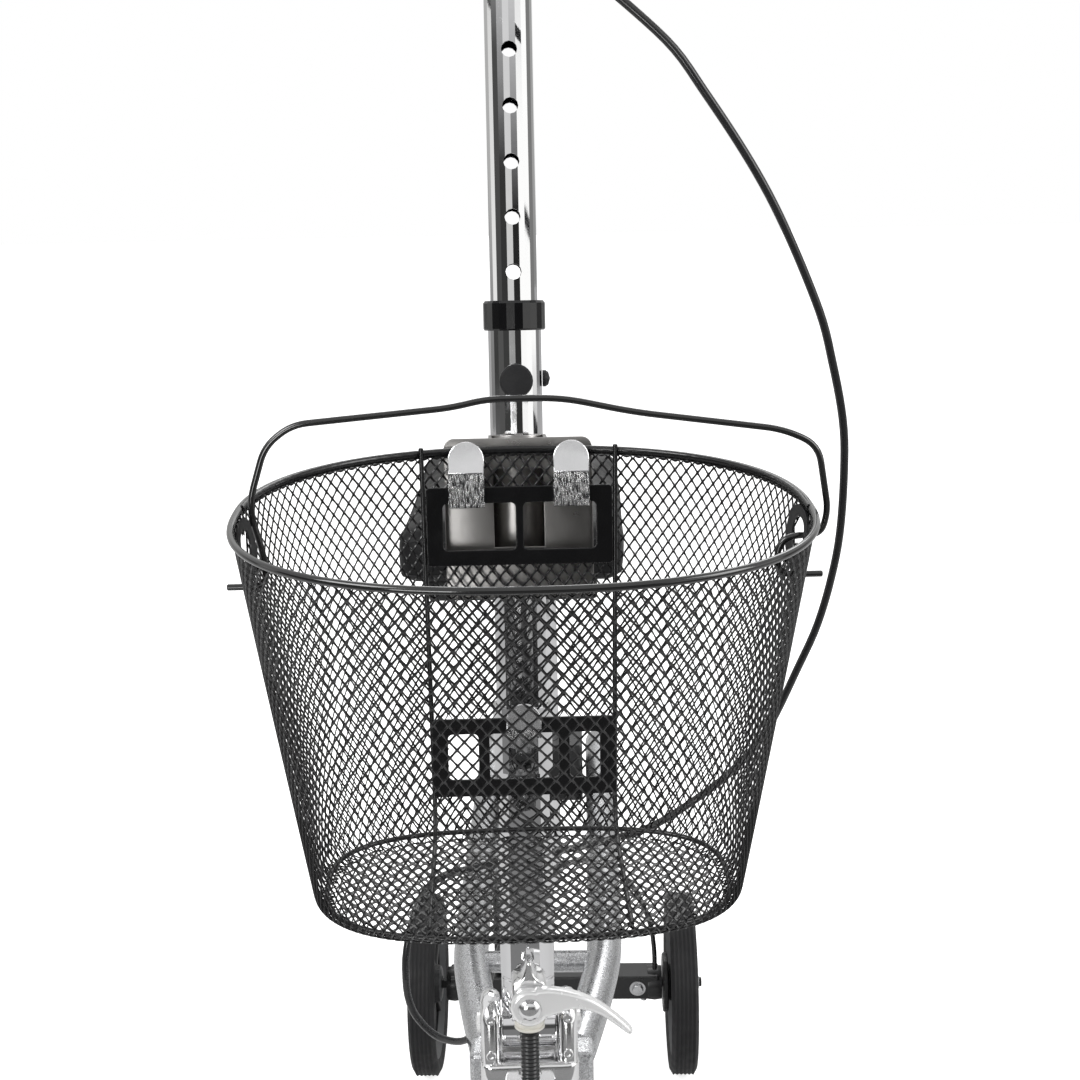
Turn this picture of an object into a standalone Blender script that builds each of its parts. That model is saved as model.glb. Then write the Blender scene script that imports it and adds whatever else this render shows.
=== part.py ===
"""A steerable knee scooter with a folding column and a lift-off wire basket.

Metres, +Z up. The scooter faces -Y and stands on z = 0, with its origin under the middle of its
bounding box. Empties carry the moving structure: steering_line lies on the raked steering axis,
turned_line is turned about it with the column, fold_line lies on the column's fold pin, and
basket_line stands upright at the basket's rim.
"""

from math import cos, pi, radians, sin, tan

import bmesh
import bpy
from mathutils import Matrix, Vector

GAP = 0.0003  # between pieces that touch

# ---- whole object
HINGE = Vector((0.0015, -0.2366, 0.473))  # point on the steering axis, level with the folding joint
RAKE = radians(8.5)  # the column leans back
STEERED = radians(3.3)  # the column stands turned this far to the left at rest
WHEELBASE_REAR = 0.624  # rear axle, behind the hinge point
WHEEL_RADIUS = 0.095
TYRE_WIDTH = 0.0285
FRONT_TRACK = 0.250
REAR_TRACK = 0.271

# ---- column, measured along the steering axis from the hinge point
OUTER_TUBE_RADIUS = 0.0159
OUTER_TUBE_BORE = 0.0145
INNER_TUBE_RADIUS = 0.0141
INNER_TUBE_BORE = 0.0125
SLEEVE_RADIUS = 0.0171
SLEEVE_TOP = 0.110
FOOT_TOP = 0.0217
FOLD_PIN_HEIGHT = -0.012
OUTER_TUBE_TOP = 0.4355
COLLAR_BOTTOM = 0.4250
COLLAR_TOP = 0.4425
HOLE_RADIUS = 0.0047
HOLE_PITCH = 0.03168
FIRST_HOLE = 0.4593
KNOB_HEIGHT = FIRST_HOLE - 2 * HOLE_PITCH
INNER_TUBE_BOTTOM = 0.215
INNER_TUBE_TOP = 0.640
BAR_HEIGHT = 0.655
BAR_RADIUS = 0.0111

# ---- basket, measured from the column axis at the rim's height
RIM_HEIGHT = 0.8290
RIM_HALF_WIDTH = 0.1445
RIM_HALF_DEPTH = 0.1305
RIM_MIDDLE = -0.1660
RIM_WIRE = 0.0019
BASKET_DEPTH = 0.228
FLOOR_HALF_WIDTH = 0.1190
FLOOR_HALF_DEPTH = 0.0685
FLOOR_MIDDLE = -0.1345
FLOOR_EDGE_RADIUS = 0.010
SQUARE_BACK = (2.25, 3.00)  # squareness of the plan behind the middle, at the rim and the floor
SQUARE_FRONT = (2.40, 2.80)
WALL = 0.002
PLATE_FRONT = -0.0458  # in column axes: front face of the two hanger plates
PLATE_BACK = -0.0438
UPPER_WINDOW = (0.2935, 0.3320)  # the wall is cut away behind the hanger plates
LOWER_WINDOW = (0.1560, 0.1945)
BAIL_WIRE = 0.0017
BAIL_PIVOT_DROP = 0.0360

# ---- frame
RAIL_RADIUS = 0.0127
RAIL_HEIGHT = 0.405
RAIL_SPREAD = 0.0505
PAD_OFFSET = -0.022
POST_PLACE = 0.505  # behind the hinge point
PAD_HEIGHT = 0.6293
CABLE_RADIUS = 0.0025

MATERIALS = {
    # name: (colour, roughness, metallic)
    "chrome": ((0.78, 0.78, 0.80), 0.10, 1.0),
    "silver_paint": ((0.55, 0.56, 0.58), 0.30, 0.85),
    "aluminium": ((0.80, 0.80, 0.81), 0.25, 1.0),
    "black_steel": ((0.02, 0.02, 0.02), 0.35, 0.3),
    "black_plastic": ((0.015, 0.015, 0.016), 0.40, 0.0),
    "rubber": ((0.03, 0.03, 0.03), 0.70, 0.0),
    "vinyl": ((0.02, 0.02, 0.022), 0.50, 0.0),
}


# ---------------------------------------------------------------- scene and helpers


def clear_scene():
    for obj in list(bpy.data.objects):
        bpy.data.objects.remove(obj, do_unlink=True)


def make_material(name):
    """Every sub-part has a material of its own, with its finish's values."""
    colour, roughness, metallic = MATERIALS[name]
    material = bpy.data.materials.new(name)
    material.use_nodes = True
    shader = material.node_tree.nodes["Principled BSDF"]
    shader.inputs["Base Color"].default_value = (*colour, 1.0)
    shader.inputs["Roughness"].default_value = roughness
    shader.inputs["Metallic"].default_value = metallic
    return material


def make_empty(name, location, rotation=(0.0, 0.0, 0.0), parent=None):
    obj = bpy.data.objects.new(name, None)
    bpy.context.scene.collection.objects.link(obj)
    obj.parent = parent
    obj.location = location
    obj.rotation_euler = rotation
    return obj


def add_object(name, data, finish, location=(0, 0, 0), rotation=(0, 0, 0), parent=None):
    obj = bpy.data.objects.new(name, data)
    bpy.context.scene.collection.objects.link(obj)
    obj.parent = parent
    obj.location = location
    obj.rotation_euler = rotation
    if finish:
        data.materials.clear()
        data.materials.append(make_material(finish))
    return obj


def mesh_from(name, bm, smooth_angle=35.0):
    bmesh.ops.recalc_face_normals(bm, faces=bm.faces)
    mesh = bpy.data.meshes.new(name)
    bm.to_mesh(mesh)
    bm.free()
    mesh.shade_smooth()
    mesh.set_sharp_from_angle(angle=radians(smooth_angle))
    return mesh


def turned_mesh(name, outline, steps=24):
    """A body turned about its Z axis. An outline that starts and ends on the axis is solid."""
    bm = bmesh.new()
    solid = outline[0][0] == 0.0
    rings = []
    for radius, height in outline:
        if radius == 0.0:
            rings.append([bm.verts.new((0.0, 0.0, height))])
            continue
        angles = [2 * pi * step / steps for step in range(steps)]
        rings.append([bm.verts.new((radius * cos(a), radius * sin(a), height)) for a in angles])
    pairs = list(zip(rings, rings[1:]))
    if not solid:
        pairs.append((rings[-1], rings[0]))
    for first, second in pairs:
        for step in range(steps):
            after = (step + 1) % steps
            corners = [first[step % len(first)], first[after % len(first)]]
            corners += [second[after % len(second)], second[step % len(second)]]
            bm.faces.new(list(dict.fromkeys(corners)))
    return mesh_from(name, bm)


def tube_outline(outer, bore, bottom, top):
    return [(outer, bottom), (outer, top), (bore, top), (bore, bottom)]


def rod_outline(radius, bottom, top, chamfer=0.0):
    if chamfer == 0.0:
        return [(0.0, bottom), (radius, bottom), (radius, top), (0.0, top)]
    inside = radius - chamfer
    low = [(0.0, bottom), (inside, bottom), (radius, bottom + chamfer)]
    return low + [(radius, top - chamfer), (inside, top), (0.0, top)]


def prism_mesh(name, outline, low, high, axis="Y"):
    """A flat outline pushed along an axis: (x, z) pairs along Y, (y, z) along X, (x, y) along Z."""
    place = {
        "X": lambda a, b, c: (c, a, b),
        "Y": lambda a, b, c: (a, c, b),
        "Z": lambda a, b, c: (a, b, c),
    }[axis]
    bm = bmesh.new()
    near = [bm.verts.new(place(a, b, low)) for a, b in outline]
    far = [bm.verts.new(place(a, b, high)) for a, b in outline]
    bm.faces.new(near)
    bm.faces.new(far)
    for index in range(len(outline)):
        after = (index + 1) % len(outline)
        bm.faces.new((near[index], near[after], far[after], far[index]))
    return mesh_from(name, bm)


def block_mesh(name, low, high, bevel=0.0):
    """A box from its lowest to its highest corner, with its edges bevelled."""
    bm = bmesh.new()
    bmesh.ops.create_cube(bm, size=1.0)
    size = Vector(high) - Vector(low)
    middle = (Vector(high) + Vector(low)) / 2
    bmesh.ops.transform(bm, verts=bm.verts, matrix=Matrix.Diagonal((*size, 1.0)))
    bmesh.ops.translate(bm, verts=bm.verts, vec=middle)
    if bevel:
        bmesh.ops.bevel(bm, geom=bm.edges, offset=bevel, segments=2, profile=0.5, affect="EDGES")
    return mesh_from(name, bm)


def arc(centre, radius, start, end, steps):
    """Points on an arc, in degrees."""
    turns = [radians(start + (end - start) * step / steps) for step in range(steps + 1)]
    return [(centre[0] + radius * cos(a), centre[1] + radius * sin(a)) for a in turns]


def smooth_route(points, count):
    """Evenly spaced points on a Catmull-Rom curve through the route's points."""
    route = [Vector(p) for p in points]
    route = [route[0] * 2 - route[1]] + route + [route[-1] * 2 - route[-2]]
    fine = []
    for a, b, c, d in zip(route, route[1:], route[2:], route[3:]):
        for step in range(24):
            t = step / 24
            fine.append(
                0.5
                * (
                    b * 2
                    + (c - a) * t
                    + (a * 2 - b * 5 + c * 4 - d) * t * t
                    + (b * 3 - a - c * 3 + d) * t * t * t
                )
            )
    fine.append(route[-2])
    along = [0.0]
    for first, second in zip(fine, fine[1:]):
        along.append(along[-1] + (second - first).length)
    even = []
    place = 0
    for index in range(count):
        target = along[-1] * index / (count - 1)
        while place < len(fine) - 2 and along[place + 1] < target:
            place += 1
        share = (target - along[place]) / (along[place + 1] - along[place])
        even.append(fine[place].lerp(fine[place + 1], min(max(share, 0.0), 1.0)))
    return even


def rounded_path(corners, radius, steps=5):
    """A path through its corners, each one rounded by an arc-like curve."""
    corners = [Vector(c) for c in corners]
    path = [corners[0]]
    for before, corner, after in zip(corners, corners[1:], corners[2:]):
        reach = min(radius, (before - corner).length * 0.45, (after - corner).length * 0.45)
        start = corner + (before - corner).normalized() * reach
        end = corner + (after - corner).normalized() * reach
        for step in range(steps + 1):
            t = step / steps
            path.append(start * (1 - t) ** 2 + corner * 2 * t * (1 - t) + end * t * t)
    path.append(corners[-1])
    return path


def tube_curve(name, points, radius, resolution=2, closed=False):
    curve = bpy.data.curves.new(name, "CURVE")
    curve.dimensions = "3D"
    curve.bevel_depth = radius
    curve.bevel_resolution = resolution
    curve.use_fill_caps = True
    spline = curve.splines.new("POLY")
    spline.points.add(len(points) - 1)
    for place, point in zip(spline.points, points):
        place.co = (*point, 1.0)
    spline.use_cyclic_u = closed
    return curve


def cutter(name, mesh, location=(0, 0, 0), rotation=(0, 0, 0), parent=None):
    obj = add_object(name, mesh, None, location, rotation, parent)
    obj.hide_render = True
    obj.display_type = "WIRE"
    return obj


def combine(obj, other, operation):
    modifier = obj.modifiers.new(operation.lower(), "BOOLEAN")
    modifier.operation = operation
    modifier.solver = "EXACT"
    modifier.object = other


# ---------------------------------------------------------------- folding joint and front end


def build_front_end(steering, turned):
    """The steered body under the fold: clevis, fold pin, steerer, and the leg with its axle."""
    base = block_mesh("fold_clevis", (-0.031, -0.021, -0.047), (0.031, 0.021, -0.031), 0.002)
    clevis = add_object("fold_clevis", base, "chrome", parent=turned)
    ear_outline = [(-0.019, -0.034), (0.019, -0.034), (0.019, -0.010)]
    ear_outline += arc((0.0, -0.010), 0.019, 12, 168, 8) + [(-0.019, -0.010)]
    for side in (-1, 1):
        ear = prism_mesh("ear", ear_outline, side * 0.0178, side * 0.0305, "X")
        combine(clevis, cutter(f"ear_{side}", ear, parent=turned), "UNION")
    seat = prism_mesh(
        "latch_seat",
        [(-0.016, -0.018), (-0.016, -0.046), (-0.0067, -0.046), (-0.0067, -0.029)]
        + [(0.0067, -0.029), (0.0067, -0.046), (0.016, -0.046), (0.016, -0.018)],
        -0.0468,
        -0.0410,
        "Z",
    )
    combine(clevis, cutter("latch_seat", seat, parent=turned), "UNION")
    sideways = (0.0, pi / 2, 0.0)
    bore = turned_mesh("pin_bore", rod_outline(0.0043, -0.05, 0.05), 16)
    pin_place = (0.0, 0.0, FOLD_PIN_HEIGHT)
    combine(clevis, cutter("ear_bore", bore, pin_place, sideways, turned), "DIFFERENCE")
    head = 0.0308
    pin_outline = [(0.0, -head - 0.003), (0.0065, -head - 0.002), (0.0065, -head), (0.004, -head)]
    pin_outline += [(0.004, head), (0.0065, head), (0.0065, head + 0.002), (0.0, head + 0.003)]
    pin = turned_mesh("fold_pin", pin_outline, 16)
    add_object("fold_pin", pin, "aluminium", pin_place, sideways, turned)
    steerer = turned_mesh("steerer_tube", rod_outline(0.0127, -0.186, -0.0473), 24)
    add_object("steerer_tube", steerer, "chrome", parent=steering)

    axle_height = -(HINGE.z - WHEEL_RADIUS) / cos(RAKE)
    leg_outline = [(0.0, axle_height + 0.004), (0.014, axle_height + 0.004), (0.014, -0.215)]
    leg_outline += [(0.019, -0.205), (0.019, -0.1863), (0.0, -0.1863)]
    leg = add_object("front_fork", turned_mesh("front_fork", leg_outline, 20), "silver_paint")
    leg.parent = steering
    beam = turned_mesh("beam", rod_outline(0.011, -0.105, 0.105, 0.001), 16)
    axle = turned_mesh("axle", rod_outline(0.005, -0.147, 0.147, 0.0005), 16)
    place = (0.0, 0.0, axle_height)
    combine(leg, cutter("front_beam", beam, place, sideways, steering), "UNION")
    combine(leg, cutter("front_axle", axle, place, sideways, steering), "UNION")


def wheel_outlines():
    half = TYRE_WIDTH / 2
    rim = WHEEL_RADIUS - 0.017
    tyre = [(rim, -half + 0.003), (rim + 0.009, -half)]
    tyre += [(WHEEL_RADIUS - 0.0025, -half + 0.003), (WHEEL_RADIUS, -half + 0.008)]
    tyre += [(radius, -height) for radius, height in reversed(tyre)]
    seat = rim - GAP
    core = [(seat, -0.0105), (seat, 0.0105), (seat - 0.008, 0.003)]
    core += [(0.022, 0.003), (0.019, 0.0125), (0.0054, 0.0125)]
    core += [(radius, -height) for radius, height in reversed(core[2:])]
    return tyre, core


def build_wheel(name, place, parent):
    """One wheel on its axle line: a tyre, and a rim, web and hub in one moulding."""
    tyre, core = wheel_outlines()
    turned = (0.0, pi / 2, 0.0)
    axis = make_empty(f"{name}_axis", place, parent=parent)
    tyre_mesh = turned_mesh(f"{name}_tyre", tyre, 28)
    add_object(f"{name}_tyre", tyre_mesh, "rubber", rotation=turned, parent=axis)
    core_mesh = turned_mesh(f"{name}_core", core, 28)
    add_object(f"{name}_core", core_mesh, "black_plastic", rotation=turned, parent=axis)


def build_front_wheels(steering):
    axle_height = -(HINGE.z - WHEEL_RADIUS) / cos(RAKE)
    for name, side in (("front_right_wheel", -1), ("front_left_wheel", 1)):
        build_wheel(name, (side * FRONT_TRACK / 2, 0.0, axle_height), steering)


# ---------------------------------------------------------------- column above the fold


def build_column(column):
    """The lower tube of the column with its foot, sleeve, collar and the clamp knob's boss."""
    sideways = (0.0, pi / 2, 0.0)
    outer = tube_outline(OUTER_TUBE_RADIUS, OUTER_TUBE_BORE, FOOT_TOP + GAP, OUTER_TUBE_TOP)
    add_object("outer_tube", turned_mesh("outer_tube", outer, 28), "chrome", parent=column)
    sleeve = tube_outline(SLEEVE_RADIUS, OUTER_TUBE_RADIUS + GAP, FOOT_TOP + GAP, SLEEVE_TOP)
    add_object("lower_sleeve", turned_mesh("lower_sleeve", sleeve, 28), "chrome", parent=column)

    neck = block_mesh(
        "column_foot", (-0.0165, -0.0145, FOLD_PIN_HEIGHT), (0.0165, 0.0145, FOOT_TOP), 0.001
    )
    foot = add_object("column_foot", neck, "chrome", parent=column)
    knuckle = turned_mesh("knuckle", rod_outline(0.0155, -0.0172, 0.0172), 24)
    bore = turned_mesh("foot_bore", rod_outline(0.0043, -0.05, 0.05), 16)
    place = (0.0, 0.0, FOLD_PIN_HEIGHT)
    combine(foot, cutter("knuckle", knuckle, place, sideways, column), "UNION")
    combine(foot, cutter("foot_bore", bore, place, sideways, column), "DIFFERENCE")

    step = OUTER_TUBE_TOP + 0.0005
    bore = INNER_TUBE_RADIUS + GAP
    collar = [(0.0180, COLLAR_BOTTOM), (0.0186, COLLAR_BOTTOM + 0.001)]
    collar += [(0.0186, COLLAR_TOP - 0.0015), (0.0175, COLLAR_TOP), (bore, COLLAR_TOP)]
    collar += [(bore, step), (OUTER_TUBE_RADIUS + GAP, step)]
    collar += [(OUTER_TUBE_RADIUS + GAP, COLLAR_BOTTOM)]
    add_object("collar", turned_mesh("collar", collar, 24), "black_plastic", parent=column)

    forward = (pi / 2, 0.0, 0.0)
    boss_place = (0.0, 0.0, KNOB_HEIGHT)
    boss = turned_mesh("knob_boss", tube_outline(0.0080, 0.0043, 0.012, 0.0235), 20)
    boss = add_object("knob_boss", boss, "chrome", boss_place, forward, column)
    seat = turned_mesh("boss_seat", rod_outline(OUTER_TUBE_RADIUS + GAP, 0.37, 0.43), 32)
    combine(boss, cutter("boss_seat", seat, parent=column), "DIFFERENCE")
    cap = [(0.0, 0.0163), (0.0050, 0.0163), (0.0050, 0.0180), (0.0038, 0.0198), (0.0, 0.0208)]
    cap_mesh = turned_mesh("side_screw_cap", cap, 16)
    add_object("side_screw_cap", cap_mesh, "black_plastic", boss_place, sideways, column)


def build_height_knob(column):
    """The round clamp knob, turning on its own axis; its stud stops short of the tube inside."""
    axis = make_empty("height_knob_axis", (0.0, 0.0, KNOB_HEIGHT), (pi / 2, 0.0, 0.0), column)
    outline = [(0.0, 0.0165), (0.0040, 0.0165), (0.0040, 0.0240), (0.0088, 0.0240)]
    outline += [(0.0098, 0.0250), (0.0098, 0.0305), (0.0088, 0.0316), (0.0, 0.0320)]
    mesh = turned_mesh("height_knob", outline, 24)
    add_object("height_knob", mesh, "black_plastic", parent=axis)


def build_latch(column):
    """The draw latch in front of the fold: yoke with its fin, rod, ring, cam pin and cam lever."""
    pin_height = 0.018
    fin = [(-0.0105, 0.0060), (0.0105, 0.0060), (0.0105, 0.0290), (0.0050, 0.0330)]
    fin += [(0.0010, 0.0445), (-0.0015, 0.0445), (-0.0060, 0.0330), (-0.0105, 0.0290)]
    yoke = prism_mesh("latch_yoke", fin, -0.0405, -0.0178)
    yoke = add_object("latch_yoke", yoke, "chrome", parent=column)
    bore = turned_mesh("yoke_bore", rod_outline(0.0051, 0.01, 0.06), 16)
    forward = (pi / 2, 0.0, 0.0)
    place = (0.0, 0.0, pin_height)
    combine(yoke, cutter("yoke_bore", bore, place, forward, column), "DIFFERENCE")
    pin = turned_mesh("cam_pin", rod_outline(0.0048, 0.0190, 0.0525, 0.0006), 16)
    add_object("cam_pin", pin, "aluminium", place, forward, column)
    ring = turned_mesh("latch_ring", rod_outline(0.0088, 0.0003, 0.0057, 0.0008), 24)
    add_object("latch_ring", ring, "aluminium", (0.0, -0.0355, 0.0), parent=column)
    rod = turned_mesh("latch_rod", rod_outline(0.0058, -0.050, 0.0, 0.0008), 16)
    add_object("latch_rod", rod, "black_steel", (0.0, -0.0355, 0.0), parent=column)

    lever_axis = make_empty("cam_lever_axis", place, parent=column)
    head = arc((0.0, 0.0), 0.0108, 75, 330, 16)
    under = [(0.0165, -0.0035), (0.0300, -0.0010), (0.0420, -0.0050), (0.0565, -0.0160)]
    tip = [(0.0600, -0.0180), (0.0622, -0.0165)]
    over = [(0.0520, -0.0065), (0.0402, 0.0030), (0.0300, 0.0075), (0.0150, 0.0115)]
    lever = prism_mesh("cam_lever", head + under + tip + over, -0.0495, -0.0410)
    lever = add_object("cam_lever", lever, "aluminium", parent=lever_axis)
    bore = turned_mesh("cam_bore", rod_outline(0.0051, 0.03, 0.06), 16)
    combine(lever, cutter("cam_bore", bore, (0, 0, 0), forward, lever_axis), "DIFFERENCE")


def build_bracket(column):
    """The basket's bracket: a wrapped plate with two upturned hooks, and a clamp with a third."""
    wrap_in = OUTER_TUBE_RADIUS + GAP
    wrap_out = wrap_in + 0.002
    low, high, half, corner = 0.268, 0.3630, 0.0435, 0.006
    plate_front, plate_back = -0.0322, -0.0302
    outline = [(-half, low), (half, low), (half, high), (-half, high)]
    mesh = prism_mesh("bracket_plate", outline, plate_front, plate_back)
    plate = add_object("bracket_plate", mesh, "chrome", parent=column)
    for side in (-1, 1):
        rounded = arc((half - corner, high - corner), corner, 0, 90, 5)
        around = [(half - corner, high + 0.01), (half + 0.01, high + 0.01), (half + 0.01, high - corner)]
        cut = [(side * across, height) for across, height in rounded + around]
        trim = prism_mesh("trim", cut, -0.05, 0.0)
        combine(plate, cutter(f"corner_trim_{side}", trim, parent=column), "DIFFERENCE")
        web_low = (min(side * 0.0152, side * 0.0172), plate_back - 0.0005, low)
        web_high = (max(side * 0.0152, side * 0.0172), -0.0080, high)
        web = block_mesh(f"web_{side}", web_low, web_high)
        combine(plate, cutter(f"web_{side}", web, parent=column), "UNION")
    outside = arc((0.0, 0.0), wrap_out, 206, 334, 12)
    inside = arc((0.0, 0.0), wrap_in, 334, 206, 12)
    wrap = prism_mesh("wrap", outside + inside, low, high, "Z")
    combine(plate, cutter("wrap", wrap, parent=column), "UNION")
    slot = block_mesh("slot", (-0.0148, plate_front - 0.001, 0.2985), (0.0148, -0.0200, 0.3450))
    combine(plate, cutter("slot", slot, parent=column), "DIFFERENCE")

    def hook(name, middle, shelf, bend, top, back):
        """A tongue that runs forward under the plate's bar and turns up in front of it."""
        half = 0.0104
        front = PLATE_FRONT - 0.0006
        profile = [(back, shelf - 0.002), (front - 0.0012, shelf - 0.002)]
        profile += [(front - 0.002, shelf - 0.0008), (front - 0.002, bend)]
        profile += [(front - 0.0030, top), (front - 0.0010, top), (front, bend)]
        profile += [(front, shelf), (back, shelf)]
        tongue = prism_mesh(name, profile, middle - half, middle + half, "X")
        obj = add_object(name, tongue, "chrome", parent=column)
        corner = arc((middle, top - half), half, 0, 180, 12)
        around = [(middle + 0.02, top - half), (middle + 0.02, top + 0.01)]
        around += [(middle - 0.02, top + 0.01), (middle - 0.02, top - half)]
        trim = prism_mesh("trim", corner + around[::-1], front - 0.01, front + 0.006)
        combine(obj, cutter(f"{name}_trim", trim, parent=column), "DIFFERENCE")

    hook("upper_hook_right", -0.0303, 0.3262, 0.3440, 0.3625, plate_front - GAP)
    hook("upper_hook_left", 0.0303, 0.3262, 0.3440, 0.3625, plate_front - GAP)
    hook("lower_hook", 0.0, 0.1887, 0.1985, 0.2060, -wrap_out - GAP - 0.0005)
    clamp = tube_outline(wrap_out, wrap_in, 0.155, 0.196)
    add_object("lower_clamp", turned_mesh("lower_clamp", clamp, 24), "chrome", parent=column)


# ---------------------------------------------------------------- handlebar


def build_handlebar(slider):
    """Everything that rises and falls with the inner tube."""
    tube = tube_outline(INNER_TUBE_RADIUS, INNER_TUBE_BORE, INNER_TUBE_BOTTOM, INNER_TUBE_TOP)
    inner = add_object("inner_tube", turned_mesh("inner_tube", tube, 24), "chrome")
    inner.parent = slider
    bm = bmesh.new()
    for index in range(-3, 5):
        turn = Matrix.Translation((0.0, 0.0, FIRST_HOLE + index * HOLE_PITCH))
        turn = turn @ Matrix.Rotation(pi / 2, 4, "X")
        bmesh.ops.create_cone(
            bm, cap_ends=True, segments=12, radius1=HOLE_RADIUS, radius2=HOLE_RADIUS,
            depth=0.06, matrix=turn,
        )
    holes = cutter("height_holes", mesh_from("height_holes", bm), parent=slider)
    combine(inner, holes, "DIFFERENCE")

    low = (-0.024, -0.019, INNER_TUBE_TOP + 0.0009)
    clamp = block_mesh("stem_clamp", low, (0.024, 0.019, BAR_HEIGHT + 0.0175), 0.004)
    clamp = add_object("stem_clamp", clamp, "black_plastic", parent=slider)
    sideways = (0.0, pi / 2, 0.0)
    bore = turned_mesh("bar_bore", rod_outline(BAR_RADIUS + 2 * GAP, -0.1, 0.1), 20)
    place = (0.0, 0.0, BAR_HEIGHT)
    combine(clamp, cutter("bar_bore", bore, place, sideways, slider), "DIFFERENCE")

    half = [(0.045, 0.0, BAR_HEIGHT), (0.105, 0.012, BAR_HEIGHT + 0.004)]
    half += [(0.258, 0.040, BAR_HEIGHT + 0.008)]
    corners = [(-x, y, z) for x, y, z in reversed(half)] + half
    path = rounded_path(corners, 0.03)
    bar = tube_curve("handlebar", path, BAR_RADIUS, 3)
    add_object("handlebar", bar, "black_steel", parent=slider)

    start, end = Vector(half[1]), Vector(half[2])
    run = (end - start).normalized()
    for name, side in (("grip_right", -1), ("grip_left", 1)):
        bore = BAR_RADIUS + GAP
        grip = [(0.0150, 0.0), (0.0160, 0.003), (0.0142, 0.010), (0.0150, 0.050)]
        grip += [(0.0142, 0.095), (0.0160, 0.104), (0.0150, 0.108)]
        grip += [(bore, 0.108), (bore, 0.0)]
        mesh = turned_mesh(name, grip, 16)
        origin = end - run * 0.1075
        direction = Vector((side * run.x, run.y, run.z))
        angle = direction.to_track_quat("Z", "Y").to_euler()
        location = (side * origin.x, origin.y, origin.z)
        add_object(name, mesh, "rubber", location, angle, slider)


def build_brake_lever(slider):
    """The perch on the right-hand bar, and the lever on its pivot."""
    perch = block_mesh("lever_perch", (-0.138, -0.026, 0.6465), (-0.1055, 0.0005, 0.6705), 0.003)
    add_object("lever_perch", perch, "black_plastic", parent=slider)
    axis = make_empty("brake_lever_axis", (-0.126, -0.0316, BAR_HEIGHT), parent=slider)
    blade = [(0.007, 0.004), (0.007, -0.006), (-0.010, -0.012), (-0.045, -0.0215)]
    blade += [(-0.100, -0.0150), (-0.107, -0.0100), (-0.103, -0.0060), (-0.046, -0.0125)]
    blade += [(-0.010, -0.002), (-0.004, 0.004)]
    lever = prism_mesh("brake_lever", blade, -0.005, 0.005, "Z")
    add_object("brake_lever", lever, "aluminium", parent=axis)


# ---------------------------------------------------------------- basket


def basket_point(turn, drop, inset=0.0):
    """A point on the basket's wall: turn in radians from +X, drop below the rim."""
    share = drop / BASKET_DEPTH
    half_width = RIM_HALF_WIDTH + (FLOOR_HALF_WIDTH - RIM_HALF_WIDTH) * share - inset
    half_depth = RIM_HALF_DEPTH + (FLOOR_HALF_DEPTH - RIM_HALF_DEPTH) * share - inset
    middle = RIM_MIDDLE + (FLOOR_MIDDLE - RIM_MIDDLE) * share
    at_rim, at_floor = SQUARE_BACK if sin(turn) > 0 else SQUARE_FRONT
    power = at_rim + (at_floor - at_rim) * share
    across = abs(cos(turn)) ** (2 / power) * (1 if cos(turn) > 0 else -1)
    along = abs(sin(turn)) ** (2 / power) * (1 if sin(turn) > 0 else -1)
    return Vector((half_width * across, middle + half_depth * along, -drop))


def even_turns(count, drop):
    """Turns that space points evenly round the wall."""
    fine = [2 * pi * step / 720 for step in range(721)]
    points = [basket_point(turn, drop) for turn in fine]
    along = [0.0]
    for first, second in zip(points, points[1:]):
        along.append(along[-1] + (second - first).length)
    turns = []
    place = 0
    for index in range(count):
        target = along[-1] * index / count
        while along[place + 1] < target:
            place += 1
        share = (target - along[place]) / (along[place + 1] - along[place])
        turns.append(fine[place] + (fine[place + 1] - fine[place]) * share)
    return turns


def basket_shell_mesh():
    """The woven wall and floor as one thin sheet, thickened by a modifier."""
    bm = bmesh.new()
    turns = even_turns(44, 0.0)
    levels = [(0.0, 0.0), (0.07, 0.0), (0.15, 0.0), (BASKET_DEPTH - FLOOR_EDGE_RADIUS, 0.0)]
    levels += [(BASKET_DEPTH - 0.0035, 0.0035), (BASKET_DEPTH, FLOOR_EDGE_RADIUS)]
    rings = []
    for drop, inset in levels:
        rings.append([bm.verts.new(basket_point(turn, drop, inset)) for turn in turns])
    for upper, lower in zip(rings, rings[1:]):
        for index in range(len(turns)):
            after = (index + 1) % len(turns)
            bm.faces.new((upper[index], upper[after], lower[after], lower[index]))
    bm.faces.new(rings[-1])
    return mesh_from("basket_mesh", bm, 60.0)


def wall_back(across, drop):
    """How far back the inside of the rear wall lies at this place across the basket."""
    low, high = 0.01, pi / 2
    for _ in range(40):
        turn = (low + high) / 2
        if basket_point(turn, drop).x > across:
            low = turn
        else:
            high = turn
    return basket_point(low, drop).y


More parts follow.
